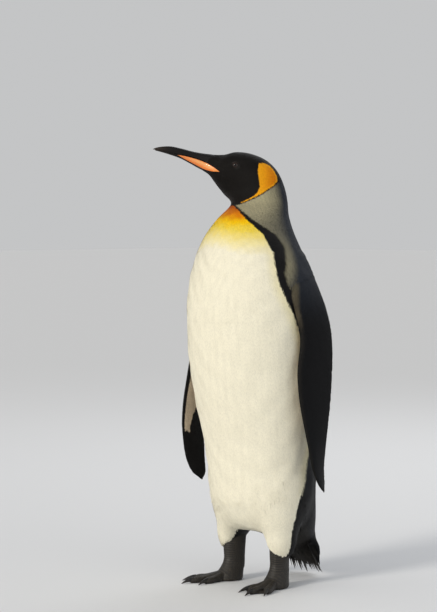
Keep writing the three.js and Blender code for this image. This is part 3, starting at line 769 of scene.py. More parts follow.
def rows_of_roots(surface, t_range, phi_range, step, spread):
    """Stations and angles of feather roots. step(t) is the distance between rows and spread the ratio of the
    distance across to it. Rows lie where the integral of fastest speed / step passes whole numbers."""
    t = np.linspace(*t_range, 500)
    grid_t, grid_phi = np.meshgrid(t, np.linspace(*phi_range, 90), indexing="ij")
    _, by_t, by_phi = normals_of(surface, grid_t, grid_phi)
    fast_t = np.linalg.norm(by_t, axis=-1).max(1)
    fast_phi = np.linalg.norm(by_phi, axis=-1).max(1)
    passed = np.concatenate([[0], np.cumsum(np.diff(t) * (fast_t / step(t))[1:])])
    rows = np.interp(np.arange(0.5, passed[-1]), passed, t)
    turn = phi_range[1] - phi_range[0]
    counts = np.maximum(np.round(np.interp(rows, t, fast_phi) * turn / (step(rows) * spread)), 3).astype(int)
    row = np.repeat(np.arange(len(rows)), counts)
    column = np.arange(len(row)) - np.repeat(np.cumsum(counts) - counts, counts)
    shaken = rng.uniform(-0.22, 0.22, (2, len(row)))
    phi = phi_range[0] + turn * (column + 0.5 * (row % 2) + shaken[0]) / counts[row]
    root_t = rows[row] + shaken[1] * step(rows[row]) / np.interp(rows[row], t, fast_t)
    _, by_t, by_phi = normals_of(surface, root_t, phi)
    crowding = (np.linalg.norm(by_t, axis=-1) / np.interp(root_t, t, fast_t)
                * np.linalg.norm(by_phi, axis=-1) / np.interp(root_t, t, fast_phi))
    keep = rng.random(len(row)) < crowding * 1.08
    return root_t[keep], phi[keep]


_, speed, _ = normals_of(body, np.array([9.0]), np.array([0.0]))
print("from station to station the front of the breast is", np.linalg.norm(speed).round(), "mm long")

# %% [markdown]
# ## The shape of one feather
#
# What shows of a body feather is its tip: a small arched blade, broad near its end and rounded. Each one
# is the same eight points (six on the face and flippers), carried to its root by three directions: along
# its lie, across, and out from the skin. Six thousand or sixty thousand, it is one multiplication of
# arrays. Flat blades would glitter like fish scales, so their normals are given: nearly the body's
# own, bent a little across the vane, as the barbs bend. The OFBake map gives every feather a small patch
# of its own where its root lies on the unrolled skin, so a baked colour belongs to that feather alone.

# %% Feathers from roots
# Columns: share of the length, share of the half width, rise of the arch. Then the triangles.
BLADE = np.array([
    [0.00, -0.50, 0.0], [0.00, 0.50, 0.0],
    [0.50, -1.00, 0.0], [0.50, 0.00, 1.0], [0.50, 1.00, 0.0],
    [0.84, -0.62, 0.0], [0.84, 0.62, 0.0],
    [1.00, 0.00, 0.2],
]), np.array([[0, 3, 1], [0, 2, 3], [1, 3, 4], [2, 5, 3], [3, 5, 6], [3, 6, 4], [5, 7, 6]])
SMALL_BLADE = np.array([
    [0.00, -0.50, 0.0], [0.00, 0.50, 0.0],
    [0.62, -1.00, 0.0], [0.62, 0.00, 1.0], [0.62, 1.00, 0.0],
    [1.00, 0.00, 0.1],
]), np.array([[0, 3, 1], [0, 2, 3], [1, 3, 4], [2, 5, 3], [3, 5, 4]])
ROOTED = 0.25  # how deep a feather's root lies in the skin
ARCH = 0.05  # how high the middle of a blade rises, as a share of its width
BEND, LEAN, UNEVEN = 0.15, 0.05, 0.03  # how far normals turn across the vane and back, and by chance
PATCH = 0.003  # width of one feather's patch on the OFBake map


def feathers(name, blade, root, normal, lie, length, width, lift, sag, tint, place):
    """One object of many blades: root + u * length * lie + v * width / 2 * across + height * normal, where
    height rises early to the lift, sinks with u squared by the sag, and has the arch on its middle line."""
    shape, triangles = blade
    u, v, w = shape.T
    count, corners = len(root), len(shape)
    lie = unit(lie - normal * (lie * normal).sum(1, keepdims=True))
    across = np.cross(normal, lie)
    height = -ROOTED + lift[:, None] * u ** 0.35 - sag[:, None] * u ** 2 + (ARCH * width)[:, None] * w
    points = (root[:, None]
              + lie[:, None] * (length[:, None] * u)[..., None]
              + across[:, None] * (width[:, None] / 2 * v)[..., None]
              + normal[:, None] * height[..., None])
    faces = (triangles[None] + corners * np.arange(count)[:, None, None]).reshape(-1, 3)
    made = new_object(name, points.reshape(-1, 3), faces)
    shaken = rng.normal(0, UNEVEN, (2, count, 1, 1))
    facing = unit(normal[:, None] + lie[:, None] * (shaken[0] - LEAN)
                  + across[:, None] * (shaken[1] + BEND * v[None, :, None]))
    made.data.normals_split_custom_set_from_vertices(facing.reshape(-1, 3).tolist())
    set_attribute(made, "tint", np.repeat(tint, corners, axis=0))
    set_attribute(made, "vane", xyz(u, v, rng.random(count)[:, None]).reshape(-1, 3))
    spot = PATCH + (1 - 2 * PATCH) * place[:, None] + PATCH * np.stack([v / 2, u - 0.5], -1)
    layer = made.data.uv_layers.new(name="OFBake")
    loops = np.empty(len(made.data.loops), np.int32)
    made.data.loops.foreach_get("vertex_index", loops)
    layer.data.foreach_set("uv", spot.reshape(-1, 2)[loops].astype(np.float32).ravel())
    return made


print("a blade has", len(BLADE[0]), "points, a small one", len(SMALL_BLADE[0]))

# %% [markdown]
# ## The coat, piece by piece
#
# The coat is split into thirteen pieces, because each region has its own feather: broad and long on the
# trunk, finer on the neck, a short pile on the face, and hard scales on the flippers. One function makes
# them all. Roots that fall inside another limb are found by their distance to the joined skin and left
# out, so no feather is hidden in the flesh, and the others are set down on the finished skin. A straight
# feather on a round body would stand off at its tip, so each one sags until its tip lies along the skin.

# %% One piece of coat
HIDDEN = 0.9  # a root further than this from the joined skin lies inside another limb
RESTING = 4.0  # a root nearer than this to the finished skin is set down on it


def by_station(value):
    """A function of the station: the same everywhere, or from (station, value, station, value) with a smooth
    step between."""
    if isinstance(value, tuple):
        low_t, low, high_t, high = value
        return lambda t: low + (high - low) * smooth(t, low_t, high_t)
    return lambda t: np.full(len(t), float(value))


def coat(name, surface, colour_of, t_range, phi_range, step, spread, length, width, lift,
         down=-1, swirl=0.1, keep=None, blade=BLADE, streaky=0.03, hug=1.0):
    """Feathers on a surface between two stations and two angles. They lie along -t or +t, turned in the skin
    by a soft wave and a little chance, and a wave drawn out lengthwise makes faint raised streaks, with
    painted light on them and painted shade between. Step, length, width and lift are read by station."""
    step, length, width, lift = map(by_station, (step, length, width, lift))
    t, phi = rows_of_roots(surface, t_range, phi_range, step, spread)
    root = surface(t, phi)
    shown = np.linalg.norm(nearest(union_skin, root) - root, axis=1) < HIDDEN
    if keep is not None:
        shown &= keep(t, phi)
    t, phi, root = t[shown], phi[shown], root[shown]
    normal, by_t, _ = normals_of(surface, t, phi)
    root, normal = fill(root, normal)
    resting = nearest(skin, root)
    root = np.where(np.linalg.norm(resting - root, axis=1, keepdims=True) < RESTING, resting, root)
    lie = down * unit(by_t)
    angle = swirl * (wander(root, 28.0, 9.0) + rng.normal(0, 0.6, len(t)))
    lie = lie * np.cos(angle)[:, None] + np.cross(normal, lie) * np.sin(angle)[:, None]
    grown = 1 + rng.uniform(-0.14, 0.14, len(t))
    tip = root + lie * (length(t) * grown)[:, None]
    sag = hug * ((tip - nearest(skin, tip)) * normal).sum(1).clip(0.0, 1.0)
    tint = colour_of(t, phi)
    # brighter on the raised streaks and darker between them: painted light and shade of the ridges
    streak = streaky * wander(root * np.array([1, 1, 0.16]), 6.0, 11.0)
    tint[:, :3] *= (1 + streak)[:, None]
    place = np.stack([np.interp(phi, phi_range, (0, 1)), np.interp(t, t_range, (0, 1))], -1)
    raised = lift(t) * (1 + rng.uniform(-0.06, 0.06, len(t)) + 2 * streak)
    size = length(t) * grown, width(t) * grown
    made = feathers(name, blade, root, normal, lie, *size, raised, sag, tint, place)
    print(name, len(made.data.polygons), "triangles")


# %% [markdown]
# ## The trunk's coat
#
# The white front and the slate back carry the same feather. It is about thirteen millimetres long, rooted
# every three, so that four or five lie over each other, and the coat is hardly two deep. So it looks like
# satin from a few steps away, and only its edges show that it is made of pieces.

# %% Breast, belly, back and rump
SEAM = math.radians(106)  # where the coat of the front meets the coat of the back
FRONT = (-SEAM, SEAM)
REAR = (SEAM, TURN - SEAM)
LIFT = 1.6  # how far a feather's tip stands off its root's level

for name, t_range, phi_range, step, spread, length, width in (
    ("coat_belly", (1.8, 6.6), FRONT, 2.7, 0.72, 13.0, 3.4),
    ("coat_breast", (6.6, 9.4), FRONT, 2.7, 0.72, 13.0, 3.4),
    ("coat_bib", (9.4, 12.6), FRONT, 2.4, 0.72, 11.5, 3.0),
    ("coat_vent", (-0.6, 1.8), FRONT, 2.8, 0.80, 13.0, 3.6),
    ("coat_rump", (-0.6, 6.6), REAR, 3.1, 0.80, 13.0, 4.0),
    ("coat_back", (6.6, 12.6), REAR, 3.0, 0.80, 12.5, 3.8),
):
    coat(name, body, body_colour, t_range, phi_range, step, spread, length, width, LIFT)
coat("coat_tail", body, body_colour, (FIRST, 0.2), ALL_ROUND, 4.5, 0.8, (FIRST, 26.0, 0, 17.0), 4.8, 2.6,
     swirl=0.12, streaky=0.08)

# %% [markdown]
# ## Neck and head
#
# Towards the bill the feathers shrink to a fine pile of a few millimetres, short enough to keep the
# sharp borders of the ear patch. They stop round the eye, where a ring of bare lid begins, and along the
# coloured plate of the lower bill.

# %% Neck and head coats
# The plate's outline on the side of the lower bill, head straight: y and z, from rear to tip and back.
PLATE = np.array([
    [-73, 826], [-80, 831.5], [-90, 838.5], [-103, 845.5], [-120, 851.6], [-140, 857], [-157, 860.2],
    [-142, 851.5], [-126, 843], [-107, 833], [-90, 827.3],
], float)
LID_REACH = 7.0  # how far the bare lids reach from the middle of the eye
THROAT_Z = 800  # below this height the skin isn't on the side of the face


def clear_of_face(t, phi):
    """True for roots outside the eye's lids and outside the coloured plate."""
    y, z = np.moveaxis(straight_body(t, phi)[:, 1:], -1, 0)
    beside_plate = inside_outline(PLATE, y, z) < -0.2
    return (np.hypot(y - EYE[1], z - EYE[2]) > LID_REACH) & (beside_plate | (z <= THROAT_Z))


coat("coat_neck", body, body_colour, (12.6, 15.4), ALL_ROUND, (12.6, 2.2, 14.6, 1.5), 0.78,
     (12.6, 10.0, 14.6, 6.2), (12.6, 2.6, 14.6, 1.7), (12.6, 1.6, 15.4, 0.85), swirl=0.07)
coat("coat_head", body, body_colour, (15.4, BODY_END), ALL_ROUND, (15.4, 1.4, 20, 1.05), 0.78,
     (16, 6.0, 20, 3.6), (15.4, 1.5, 20, 1.2), (15.4, 0.9, 20.4, 0.5), swirl=0.06, keep=clear_of_face,
     blade=SMALL_BLADE)

# %% [markdown]
# ## Flippers and trousers
#
# A flipper's feathers have become hard scales, hardly longer than a rice grain. Along the leg the white
# feathers hang in a loose hem over the scaly shank.

# %% Coats of the limbs
for word, side in SIDES:
    coat("coat_flipper_" + word, partial(flipper, side), partial(flipper_colour, side), (0.1, 10), ALL_ROUND,
         (0, 2.6, 9, 1.9), 0.82, (0, 9.5, 8, 5.2), (0, 3.0, 9, 2.1), (0, 1.3, 9, 0.6), down=1, swirl=0.05,
         blade=SMALL_BLADE, streaky=0.07)
    coat("coat_thigh_" + word, partial(thigh, side), partial(thigh_colour, side), (0.0, 6), ALL_ROUND,
         2.6, 0.75, (0, 9.0, 2, 13.0), 3.2, 1.9, hug=0.25)
for made in (*lofts, union_skin):
    bpy.data.objects.remove(made)

# %% [markdown]
# ## The bill
#
# The bill is two horn sheaths that meet along a curved line. Cutting one loft with Booleans would leave
# ragged triangles along that line, so each half is a loft of its own: its rings run round the outside and
# come back along the mouth. The upper half is drawn a little wider than the lower, which is what makes
# the line of the mouth show as a fine shadow.

# %% Stations of the bill
# Columns: bottom y, bottom z, top y, top z, half width, from inside the head to near the tip.
BILL = np.array([
    [-80, 823, -58, 855, 19],
    [-98, 826, -84, 860.5, 15.5],
    [-114, 833, -107, 863.5, 12],
    [-132, 843, -126, 867, 9.6],
    [-151, 853, -147, 872.5, 8],
    [-172, 860.5, -170, 877.2, 6.6],
    [-190, 866, -190, 876.6, 4.8],
    [-202, 869, -203, 874, 2.4],
], float)
BILL_TIP = np.array([0, -207.0, 871.5])
BILL_SQUARENESS = 2.3
LOWER_SHARE = 0.955  # the lower half's width as a share of the upper's
LIP = 0.06  # how far the halves arch away from each other along the mouth, as a share of the half width
MOUTH = np.array([  # the line where the halves meet: y and z, from the tip back
    [-214, 873.5], [-196, 869.5], [-172, 864.5], [-146, 860], [-122, 854], [-104, 847.5], [-90, 840],
    [-76, 829], [-56, 818],
], float)
print(len(BILL), "bill stations, tip at", BILL_TIP)

# %% Rings of half the bill


def mouth_share(rows):
    """How far up each ring the mouth's line crosses it, 0 at the bottom and 1 at the top: the nearest of many
    points on the ring's middle line."""
    share = np.linspace(0, 1, 401)
    y = rows[:, None, 0] + (rows[:, None, 2] - rows[:, None, 0]) * share
    z = rows[:, None, 1] + (rows[:, None, 3] - rows[:, None, 1]) * share
    return share[np.abs(z - look_up(MOUTH, y)).argmin(1)]


def bill_half(upper):
    """Rings of half the bill: an arc of the superellipse outside, and a shallow arch along the mouth."""
    u = np.linspace(0, 1, 90)
    rows = through(BILL, 0.3 + (len(BILL) - 1.3) * u)
    centre, along, across = middle_ring(rows, np.zeros(len(u)))
    mouth = np.arccos(signed_power(1 - 2 * mouth_share(rows), BILL_SQUARENESS / 2))[:, None]
    arc = np.linspace(-1, 1, 25)
    if upper:
        phi, widen, lip, tip = math.pi + arc * (math.pi - mouth), 1.0, LIP, BILL_TIP
    else:
        phi, widen, lip, tip = arc * mouth, LOWER_SHARE, -LIP, BILL_TIP + np.array([0, 4.5, -1.0])
    outside = on_ring(centre[:, None], along[:, None], across[:, None] * widen, phi, BILL_SQUARENESS)
    back = np.linspace(1, -1, 11)[1:-1, None]
    start, end = outside[:, -1:], outside[:, :1]
    hollow = lip * (1 - back ** 2) * across[:, :1][:, None]
    inner = start + (end - start) * (1 - back) / 2 + hollow * unit(along)[:, None]
    grid = np.concatenate([outside, inner], axis=1)
    if upper:
        # the nostril's groove, a long shallow furrow along the side
        height = (grid[..., 2] - rows[:, None, 1]) / (rows[:, 3] - rows[:, 1])[:, None]
        length = smooth(u, 0.05, 0.16) * (1 - smooth(u, 0.42, 0.62))
        grid[..., 0] *= 1 - 0.14 * np.exp(-((height - 0.66) / 0.10) ** 2) * length[:, None]
    return grid + (tip - grid) * smooth(u, 0.965, 1.0)[:, None, None] * 0.82


print("share of the bill's height below the mouth, by station", mouth_share(BILL).round(2))

# %% Upper and lower bill


def along_bill(made):
    """How far each vertex lies along the bill, across it and up it, for the horn's colours."""
    points = turned(vertices_of(made), -HEAD_TURN)
    start = np.array([-58.0, 840.0])
    length = np.linalg.norm(BILL_TIP[1:] - start)
    y, z = (BILL_TIP[1:] - start) / length
    from_start = points[:, 1:] - start
    return xyz(from_start @ (y, z) / length, points[:, 0] / 20, from_start @ (-z, y) / 20)


for name, upper in (("bill_upper_horn", True), ("bill_lower_horn", False)):
    made = new_object(name, *closed_loft(turned(bill_half(upper), HEAD_TURN)))
    set_attribute(made, "horn", along_bill(made))
    print(name, "reaches", vertices_of(made).min(0).round(1))

# %% [markdown]
# ## The coloured plates
#
# On each side of the lower bill lies a smooth plate of pink-orange horn, pointed in front, that runs back
# across the corner of the mouth. It is a thin cushion over the side of the bill: for each point of its
# outline's inside, the bill's own half width is looked up, and the plate stands a little proud of it,
# rounding down to nothing at its border.

# %% Plates over the lower bill
PROUD, SUNK = 0.4, 2.4  # how far the plate's middle stands out of the bill and its back lies inside
PLATE_LOW, PLATE_HIGH = PLATE[[0, 10, 9, 8, 7, 6]], PLATE[:7]  # its two borders, each from rear to tip


def half_width_at(rows, squareness, y, z):
    """Half width of a loft at a place in its middle plane. The ring through the place is where the cross
    product of ring line and offset is nothing, and the width there is that of the superellipse."""
    low, place = rows[:, :2], np.stack([y, z], -1)
    line = rows[:, 2:4] - low
    offset = place - low[:, None]
    side = line[:, None, 0] * offset[..., 1] - line[:, None, 1] * offset[..., 0]
    index = np.abs(side / np.linalg.norm(line, axis=-1)[:, None]).argmin(0)
    low, line = low[index], line[index]
    c = np.abs(1 - 2 * ((place - low) * line).sum(-1) / (line ** 2).sum(-1))
    return rows[index, 4] * np.maximum(1 - c ** squareness, 0) ** (1 / squareness)


def plate(side):
    """A plate and its marks for the colours: u runs from rear to tip, v from lower to upper border."""
    u, v = np.meshgrid(np.linspace(0, 1, 80), np.linspace(-1, 1, 25), indexing="ij")
    low = through(PLATE_LOW, u[:, :1] * (len(PLATE_LOW) - 1))
    high = through(PLATE_HIGH, u[:, :1] * (len(PLATE_HIGH) - 1))
    y, z = np.moveaxis(low + (high - low) * (1 + np.sin(v * math.pi / 2))[..., None] / 2, -1, 0)
    flat = y.ravel(), z.ravel()
    on_bill = half_width_at(through(BILL, np.linspace(0, 7, 500)), BILL_SQUARENESS, *flat)
    face = through(BODY, np.linspace(17, BODY_END, 500) - FIRST)
    on_face = half_width_at(face, BODY_SQUARENESS, *flat) - 0.4
    # a rounded maximum of the two half widths, so that the plate shows no crease where they cross
    wide = ((on_bill + on_face + np.sqrt((on_bill - on_face) ** 2 + 1.2)) / 2).reshape(u.shape)
    cushion = np.sqrt(np.clip(1 - v ** 2, 0, 1)) * np.sqrt(np.clip(np.sin(math.pi * u), 0, 1))
    front = xyz(side * (wide - 0.7 + (0.7 + PROUD) * cushion), y, z)
    back = xyz(side * (wide - SUNK), y, z)[:, ::-1]
    marks = xyz(np.hstack([u, u]), np.hstack([v, v[:, ::-1]]), 0)
    return np.hstack([front, back]), np.concatenate([marks.reshape(-1, 3), [[0, 0, 0], [1, 0, 0]]])


for word, side in SIDES:
    grid, marks = plate(side)
    made = new_object("bill_plate_horn_" + word, *closed_loft(turned(grid, HEAD_TURN)))
    set_attribute(made, "horn", marks)
    print(made.name, "reaches", vertices_of(made).max(0).round(1))

# %% [markdown]
# ## Eyes and lids
#
# Most of an eyeball is hidden. What shows is a dark glossy dome in a ring of bare skin, and a bird's look
# comes from how deep it sits and how the lids cut it. Ball, iris and pupil are one closed surface with the
# pattern stored as the angle from the line of sight. The lids are a rolled band on a slightly larger
# sphere, opened more along than across.

# %% Eyeballs and lids
EYE_RADIUS, CORNEA = 8.6, 0.35  # the ball, and how far its front bulges
EYE_AIM = np.array([0.965, -0.20, 0.10])  # the left eye's line of sight, head straight
EYE_UP = np.array([0, 0.10, 1.0])
LID_OPEN_WIDE, LID_OPEN_HIGH, LID_OUT = np.radians([44, 30, 60])  # half the opening, and the lids' rim


def sphere_point(side, polar, around, radius):
    """centre + radius * (cos polar * aim + sin polar * (cos around * forward + sin around * up))."""
    mirror = np.array([side, 1, 1])
    aim = unit(EYE_AIM * mirror)
    up = unit(EYE_UP - aim * (EYE_UP @ aim))
    polar, around, radius = (np.asarray(a, float)[..., None] for a in (polar, around, radius))
    rim = np.cos(around) * np.cross(up, aim) * side + np.sin(around) * up
    return EYE * mirror + radius * (np.cos(polar) * aim + np.sin(polar) * rim)


def lids(side):
    """A rolled band round the eye: v turns about the band's section, from the open edge over the outside to
    the skin and back under."""
    v, around = ring_grid(0, TURN * 23 / 24, 24, 96)
    opening = LID_OPEN_HIGH + (LID_OPEN_WIDE - LID_OPEN_HIGH) * np.abs(np.cos(around)) ** 1.3
    polar = (LID_OUT + opening) / 2 - (LID_OUT - opening) / 2 * np.cos(v)
    fold = 0.16 * np.cos(15 * polar) * (1 + 0.4 * np.sin(around * 9))
    radius = EYE_RADIUS + 0.30 + np.sin(v) * np.where(v < math.pi, 0.62 + fold, 0.7)
    return sphere_point(side, polar, around, radius)


def closed_band(grid):
    """Points and outward triangles of a grid that meets itself both ways."""
    rows, sides = grid.shape[:2]
    i, j = np.meshgrid(np.arange(rows), np.arange(sides), indexing="ij")
    next_i, next_j = (i + 1) % rows, (j + 1) % sides
    faces = two_triangles(i * sides + j, i * sides + next_j, next_i * sides + next_j, next_i * sides + j)
    return facing_out(grid.reshape(-1, 3), faces)


for word, side in SIDES:
    polar, around = ring_grid(0.02, math.pi - 0.02, 48, 64)
    bulge = CORNEA * (1 - smooth(polar, 0, 0.75))
    grid = sphere_point(side, polar, around, EYE_RADIUS + bulge)
    ball = new_object("eyeball_" + word, *closed_loft(turned(grid, HEAD_TURN)))
    angle = np.append(polar.ravel(), [0.0, math.pi]) / math.pi
    set_attribute(ball, "sight", xyz(angle, 0, 0))
    new_object("lids_" + word, *closed_band(turned(lids(side), HEAD_TURN)))
print("visible eye", round(2 * EYE_RADIUS * math.sin(LID_OPEN_WIDE), 1), "mm long")

# %% [markdown]
# ## Legs and feet
#
# Shank, instep, toes and web are lofts again. Here they are melted together with a voxel remesh, which
# rounds every inner corner as skin does, and then each vertex is pushed out or in by the pattern of
# scales: broad scutes across the front of the shank and the tops of the toes, and small round ones
# elsewhere.

# %% Stations of a leg
TOE_OUT = {1: 7.0, -1: 14.0}  # degrees that each leg is turned outwards
# Columns as for the thigh: height, centre x, centre y, half x, half y, slope.
TARSUS = np.array([
    [24, 0, -3, 18.5, 25, 0],
    [34, 0, -1, 17.6, 24, 0],
    [46, 0, 0.5, 16.8, 22.8, 0],
    [60, 0, 0.5, 17.2, 23.6, 0.2],
    [82, 0, 1, 18.2, 25, 0.62],
    [90, 0, 1, 18.2, 25, 0.62],
], float)
INSTEP = np.array([
    [0.6, 0, -13, 22.5, 28, 0],
    [4, 0, -13, 25, 30, 0],
    [13, 0, -11, 24, 29, 0],
    [24, 0, -5.5, 20.2, 25.7, 0],
    [34, 0, -1, 17.8, 24.3, 0],
], float)
TOE_ROOT_Y = -14.0
TOES = (("inner", -17.0, 67.0), ("middle", 3.0, 84.0), ("outer", 23.0, 71.0))  # degrees outwards, length
# Columns: share of the toe's length, half width, height.
TOE = np.array([
    [0, 10.5, 27], [0.25, 9.6, 21], [0.5, 8.6, 15.5], [0.75, 8.8, 13.5], [0.93, 8, 12], [1.03, 5, 9],
], float)
WEB_START, WEB_REACH, WEB_TOP, WEB_SAG = 4, 0.97, 5.2, 7.0
LEG_VOXEL = 1.15
print("toes", [word + " " + str(length) for word, _, length in TOES], "mm long")

# %% Toes and web


def toe_plan(side, splay, distance):
    """The x and y at a distance ahead of a toe's root: sine outwards, cosine forward."""
    return side * distance * math.sin(splay), TOE_ROOT_Y - distance * math.cos(splay)


def toe_ring(side, degrees, distance, height, tall, wide, phi, squareness=2.0):
    """Upright rings across a toe's line, at a distance along it and with their middles at a height."""
    splay = math.radians(degrees)
    middle = xyz(*toe_plan(side, splay, distance), height)
    across = xyz(side * wide * math.cos(splay), wide * math.sin(splay), 0)
    return on_ring(middle, xyz(0, 0, tall), across, phi, squareness)


def toe(side, splay, length, t, phi):
    """A toe: superellipse rings across its line, swelling a little at each of its three joints."""
    share, half, height = np.moveaxis(through(TOE, t), -1, 0)
    swell = 1 + 0.05 * np.sin(share * 3 * TURN - 1.2)
    return toe_ring(side, splay, length * share, height / 2 - 0.4, height / 2 * swell, half * swell, phi, 2.3)


def web(side, first, second, t, phi):
    """The web between two toes: flat rings from one toe's middle to the other's, thinnest half way, its front
    edge drawn back by the sag."""
    ends = []
    for _, degrees, length in (first, second):
        distance = WEB_START + (length * WEB_REACH - WEB_START) * t
        ends.append(np.stack(toe_plan(side, math.radians(degrees), distance), -1))
    c = signed_power(np.cos(phi), 0.4)
    x, y = np.moveaxis((ends[0] + ends[1]) / 2 + (ends[1] - ends[0]) / 2 * c[..., None], -1, 0)
    thick = WEB_TOP / 2 * (0.75 + 0.25 * c ** 2)
    return xyz(x, y + WEB_SAG * t * (1 - c ** 2), thick * (1 + signed_power(np.sin(phi), 0.8)) + 0.3)


print("a middle toe set straight would end at", toe_plan(1, 0.0, TOES[1][2]), "mm")

# %% Melt the lofts and press in the scales


def leg_of(side, word):
    """Shank, instep, toes and webs melted together by remeshing, upright over the leg's axis."""
    grids = [upright(side, TARSUS, *ring_grid(0, 5, 30, 40)), upright(side, INSTEP, *ring_grid(0, 4, 24, 40))]
    grids += [toe(side, splay, length, *ring_grid(0, 5, 50, 24)) for _, splay, length in TOES]
    grids += [web(side, *pair, *ring_grid(0, 1, 30, 28)) for pair in zip(TOES[:-1], TOES[1:])]
    made = new_object("leg_" + word, *joined_lofts(grids))
    modify(made, "REMESH", mode="VOXEL", voxel_size=LEG_VOXEL * MM)
    modify(made, "SMOOTH", iterations=6)
    apply_modifiers(made)
    return made


def leg_relief(points, normals):
    """Height of the scales in millimetres: steps across the front of the shank and the toes' tops, rounded
    grains elsewhere."""
    x, y, high = np.moveaxis(points, -1, 0)
    in_front = smooth(-normals[:, 1], 0.1, 0.6) * smooth(high, 26, 36)
    on_top = smooth(normals[:, 2], 0.25, 0.7) * (1 - smooth(high, 22, 34))
    step = (1 - (high / 4.6 + 0.25 * np.sin(x / 7)) % 1) ** 2 - 0.4
    bar = (1 - np.hypot(x, y) / 4.2 % 1) ** 2 - 0.4
    grain = (np.sin(x * 2.1 + 1.3 * np.sin(high * 1.3)) * np.sin(high * 2.0 + y * 0.7)
             * np.sin(y * 2.2 + high))
    return 0.42 * in_front * step + 0.38 * on_top * bar + 0.25 * (1 - in_front) * (1 - on_top) * grain


def set_leg(points, side):
    """Turns a leg outwards about its own axis and sets it under its side of the body."""
    angle = side * math.radians(TOE_OUT[side])
    x, y, z = np.moveaxis(points, -1, 0)
    return xyz(x * math.cos(angle) - y * math.sin(angle) + side * LEG_X,
               x * math.sin(angle) + y * math.cos(angle), z)


for word, side in SIDES:
    leg = leg_of(side, word)
    points, normals = vertices_of(leg), stored(leg, "normal")
    relief = leg_relief(points, normals)
    moved = points + normals * relief[:, None]
    moved[:, 2] = np.maximum(moved[:, 2], 0.0)
    move_vertices(leg, set_leg(moved, side))
    set_attribute(leg, "scale", xyz(relief, points[:, 2], normals[:, 2]))
    print(leg.name, len(leg.data.polygons), "faces")

# %% [markdown]
# ## Claws
#
# Each claw is a cone that bends down, rooted inside its toe. It bears on nothing, so its tip stays just
# clear of the floor.

# %% Six claws
CLAW_LENGTH, CLAW_INSIDE, CLAW_HALF, CLAW_TIP = 23.0, 5.0, 4.3, 0.55
CLAW_RISE, CLAW_DROP = 7.4, 6.4


def claw(side, splay, length, u, phi):
    """A claw: rings that narrow with distance to the power 1.7 and sink with its square."""
    distance = length - CLAW_INSIDE + (CLAW_LENGTH + CLAW_INSIDE) * u
    size = CLAW_HALF * (1 - u ** 1.7) + CLAW_TIP
    return toe_ring(side, splay, distance, CLAW_RISE - CLAW_DROP * u ** 2, size, size * 0.8, phi)


for word, side in SIDES:
    for toe_word, splay, length in TOES:
        grid = set_leg(claw(side, splay, length, *ring_grid(0, 1, 26, 20)), side)
        made = new_object("claw_horn_" + word + "_" + toe_word, *closed_loft(grid))
        x, _, z = np.moveaxis(vertices_of(made), -1, 0)
        set_attribute(made, "horn", xyz((40 - z) / 40, x / 20, z / 20))
        print(made.name, "is clear of the floor by", z.min().round(2), "mm")

# %% [markdown]
# ## The tail
#
# A penguin's tail is a fan of stiff, narrow, springy feathers that it props on the ground. Each is a
# blade with a round shaft down its middle and a frayed outline, and they lie in four layers, so that the
# fan ends in spikes of uneven length.

# %% Stiff tail feathers
# Places are y and z, and the outer feathers' are moved by so much. Spreads are the fan's half widths.
TAIL_ROOT, TAIL_OUTER_ROOT, TAIL_ROOT_SPREAD = np.array([124.0, 100.0]), np.array([-14.0, -10.0]), 30.0
TAIL_TIP, TAIL_OUTER_TIP, TAIL_TIP_SPREAD = np.array([172.0, -3.0]), np.array([-26.0, 6.0]), 53.0
TAIL_CANT, TAIL_BOW = 0.4, 3.0
# Each layer's count of feathers, share of the full length, half width, and lift off the lowest layer.
TAIL_LAYERS = ((9, 1.0, 6.8, 0.0), (16, 0.93, 4.6, 1.6), (19, 0.80, 4.0, 3.2), (15, 0.64, 4.0, 4.6))


def quill(share, reach, width, raised, seed, u, phi):
    """One tail feather from its root under the coverts to its tip: share runs from -1 at the right side to 1
    at the left, reach is how much of the full length it has, and raised lifts it off the layer below."""
    away = abs(share) ** 1.5
    root = np.array([TAIL_ROOT_SPREAD * share, *(TAIL_ROOT + TAIL_OUTER_ROOT * away)])
    tip = np.array([TAIL_TIP_SPREAD * share, *(TAIL_TIP + TAIL_OUTER_TIP * away)])
    slant = unit(np.array([1, -TAIL_CANT * share, 0]))
    up = unit(np.cross(slant, tip - root))
    fray = 1 + 0.10 * np.sin(u * 61 + seed) * smooth(u, 0.4, 0.9)
    half = width * (1 - 0.55 * share ** 2) * (1.02 - u ** 3.2) * fray * (0.75 + 0.25 * smooth(u, 0, 0.2))
    c, s = np.cos(phi), np.sin(phi)
    thick = 0.28 + 0.55 * (1 - 0.7 * u) * np.exp(-(c * half / 0.9) ** 2)
    bend = -4 * TAIL_BOW * u * reach * (1 - u * reach) + raised * (1 - 0.6 * share ** 2)
    height = bend + thick * s - 0.10 * np.abs(c) * half
    points = root + (tip - root) * (u * reach)[..., None]
    points += up * height[..., None] + slant * (half * c)[..., None]
    points[..., 2] = np.maximum(points[..., 2], 0.15 + 0.12 * (1 + s))
    return points


u, phi = ring_grid(0, 1, 26, 12)
quills, marks = [], []
for count, reach, width, raised in TAIL_LAYERS:
    for share in np.linspace(-0.94, 0.94, count):
        seed = rng.random()
        share += rng.uniform(-0.04, 0.04)
        quills.append(quill(share, reach * (1 - 0.12 * seed), width, raised, seed * 9, u, phi))
        marks.extend([xyz(u, np.cos(phi), seed).reshape(-1, 3), [[0, 0, seed], [1, 0, seed]]])
tail_fan = new_object("tail_quills", *joined_lofts(quills))
set_attribute(tail_fan, "vane", np.concatenate(marks))
print("tail", len(quills), "feathers,", len(tail_fan.data.polygons), "triangles")

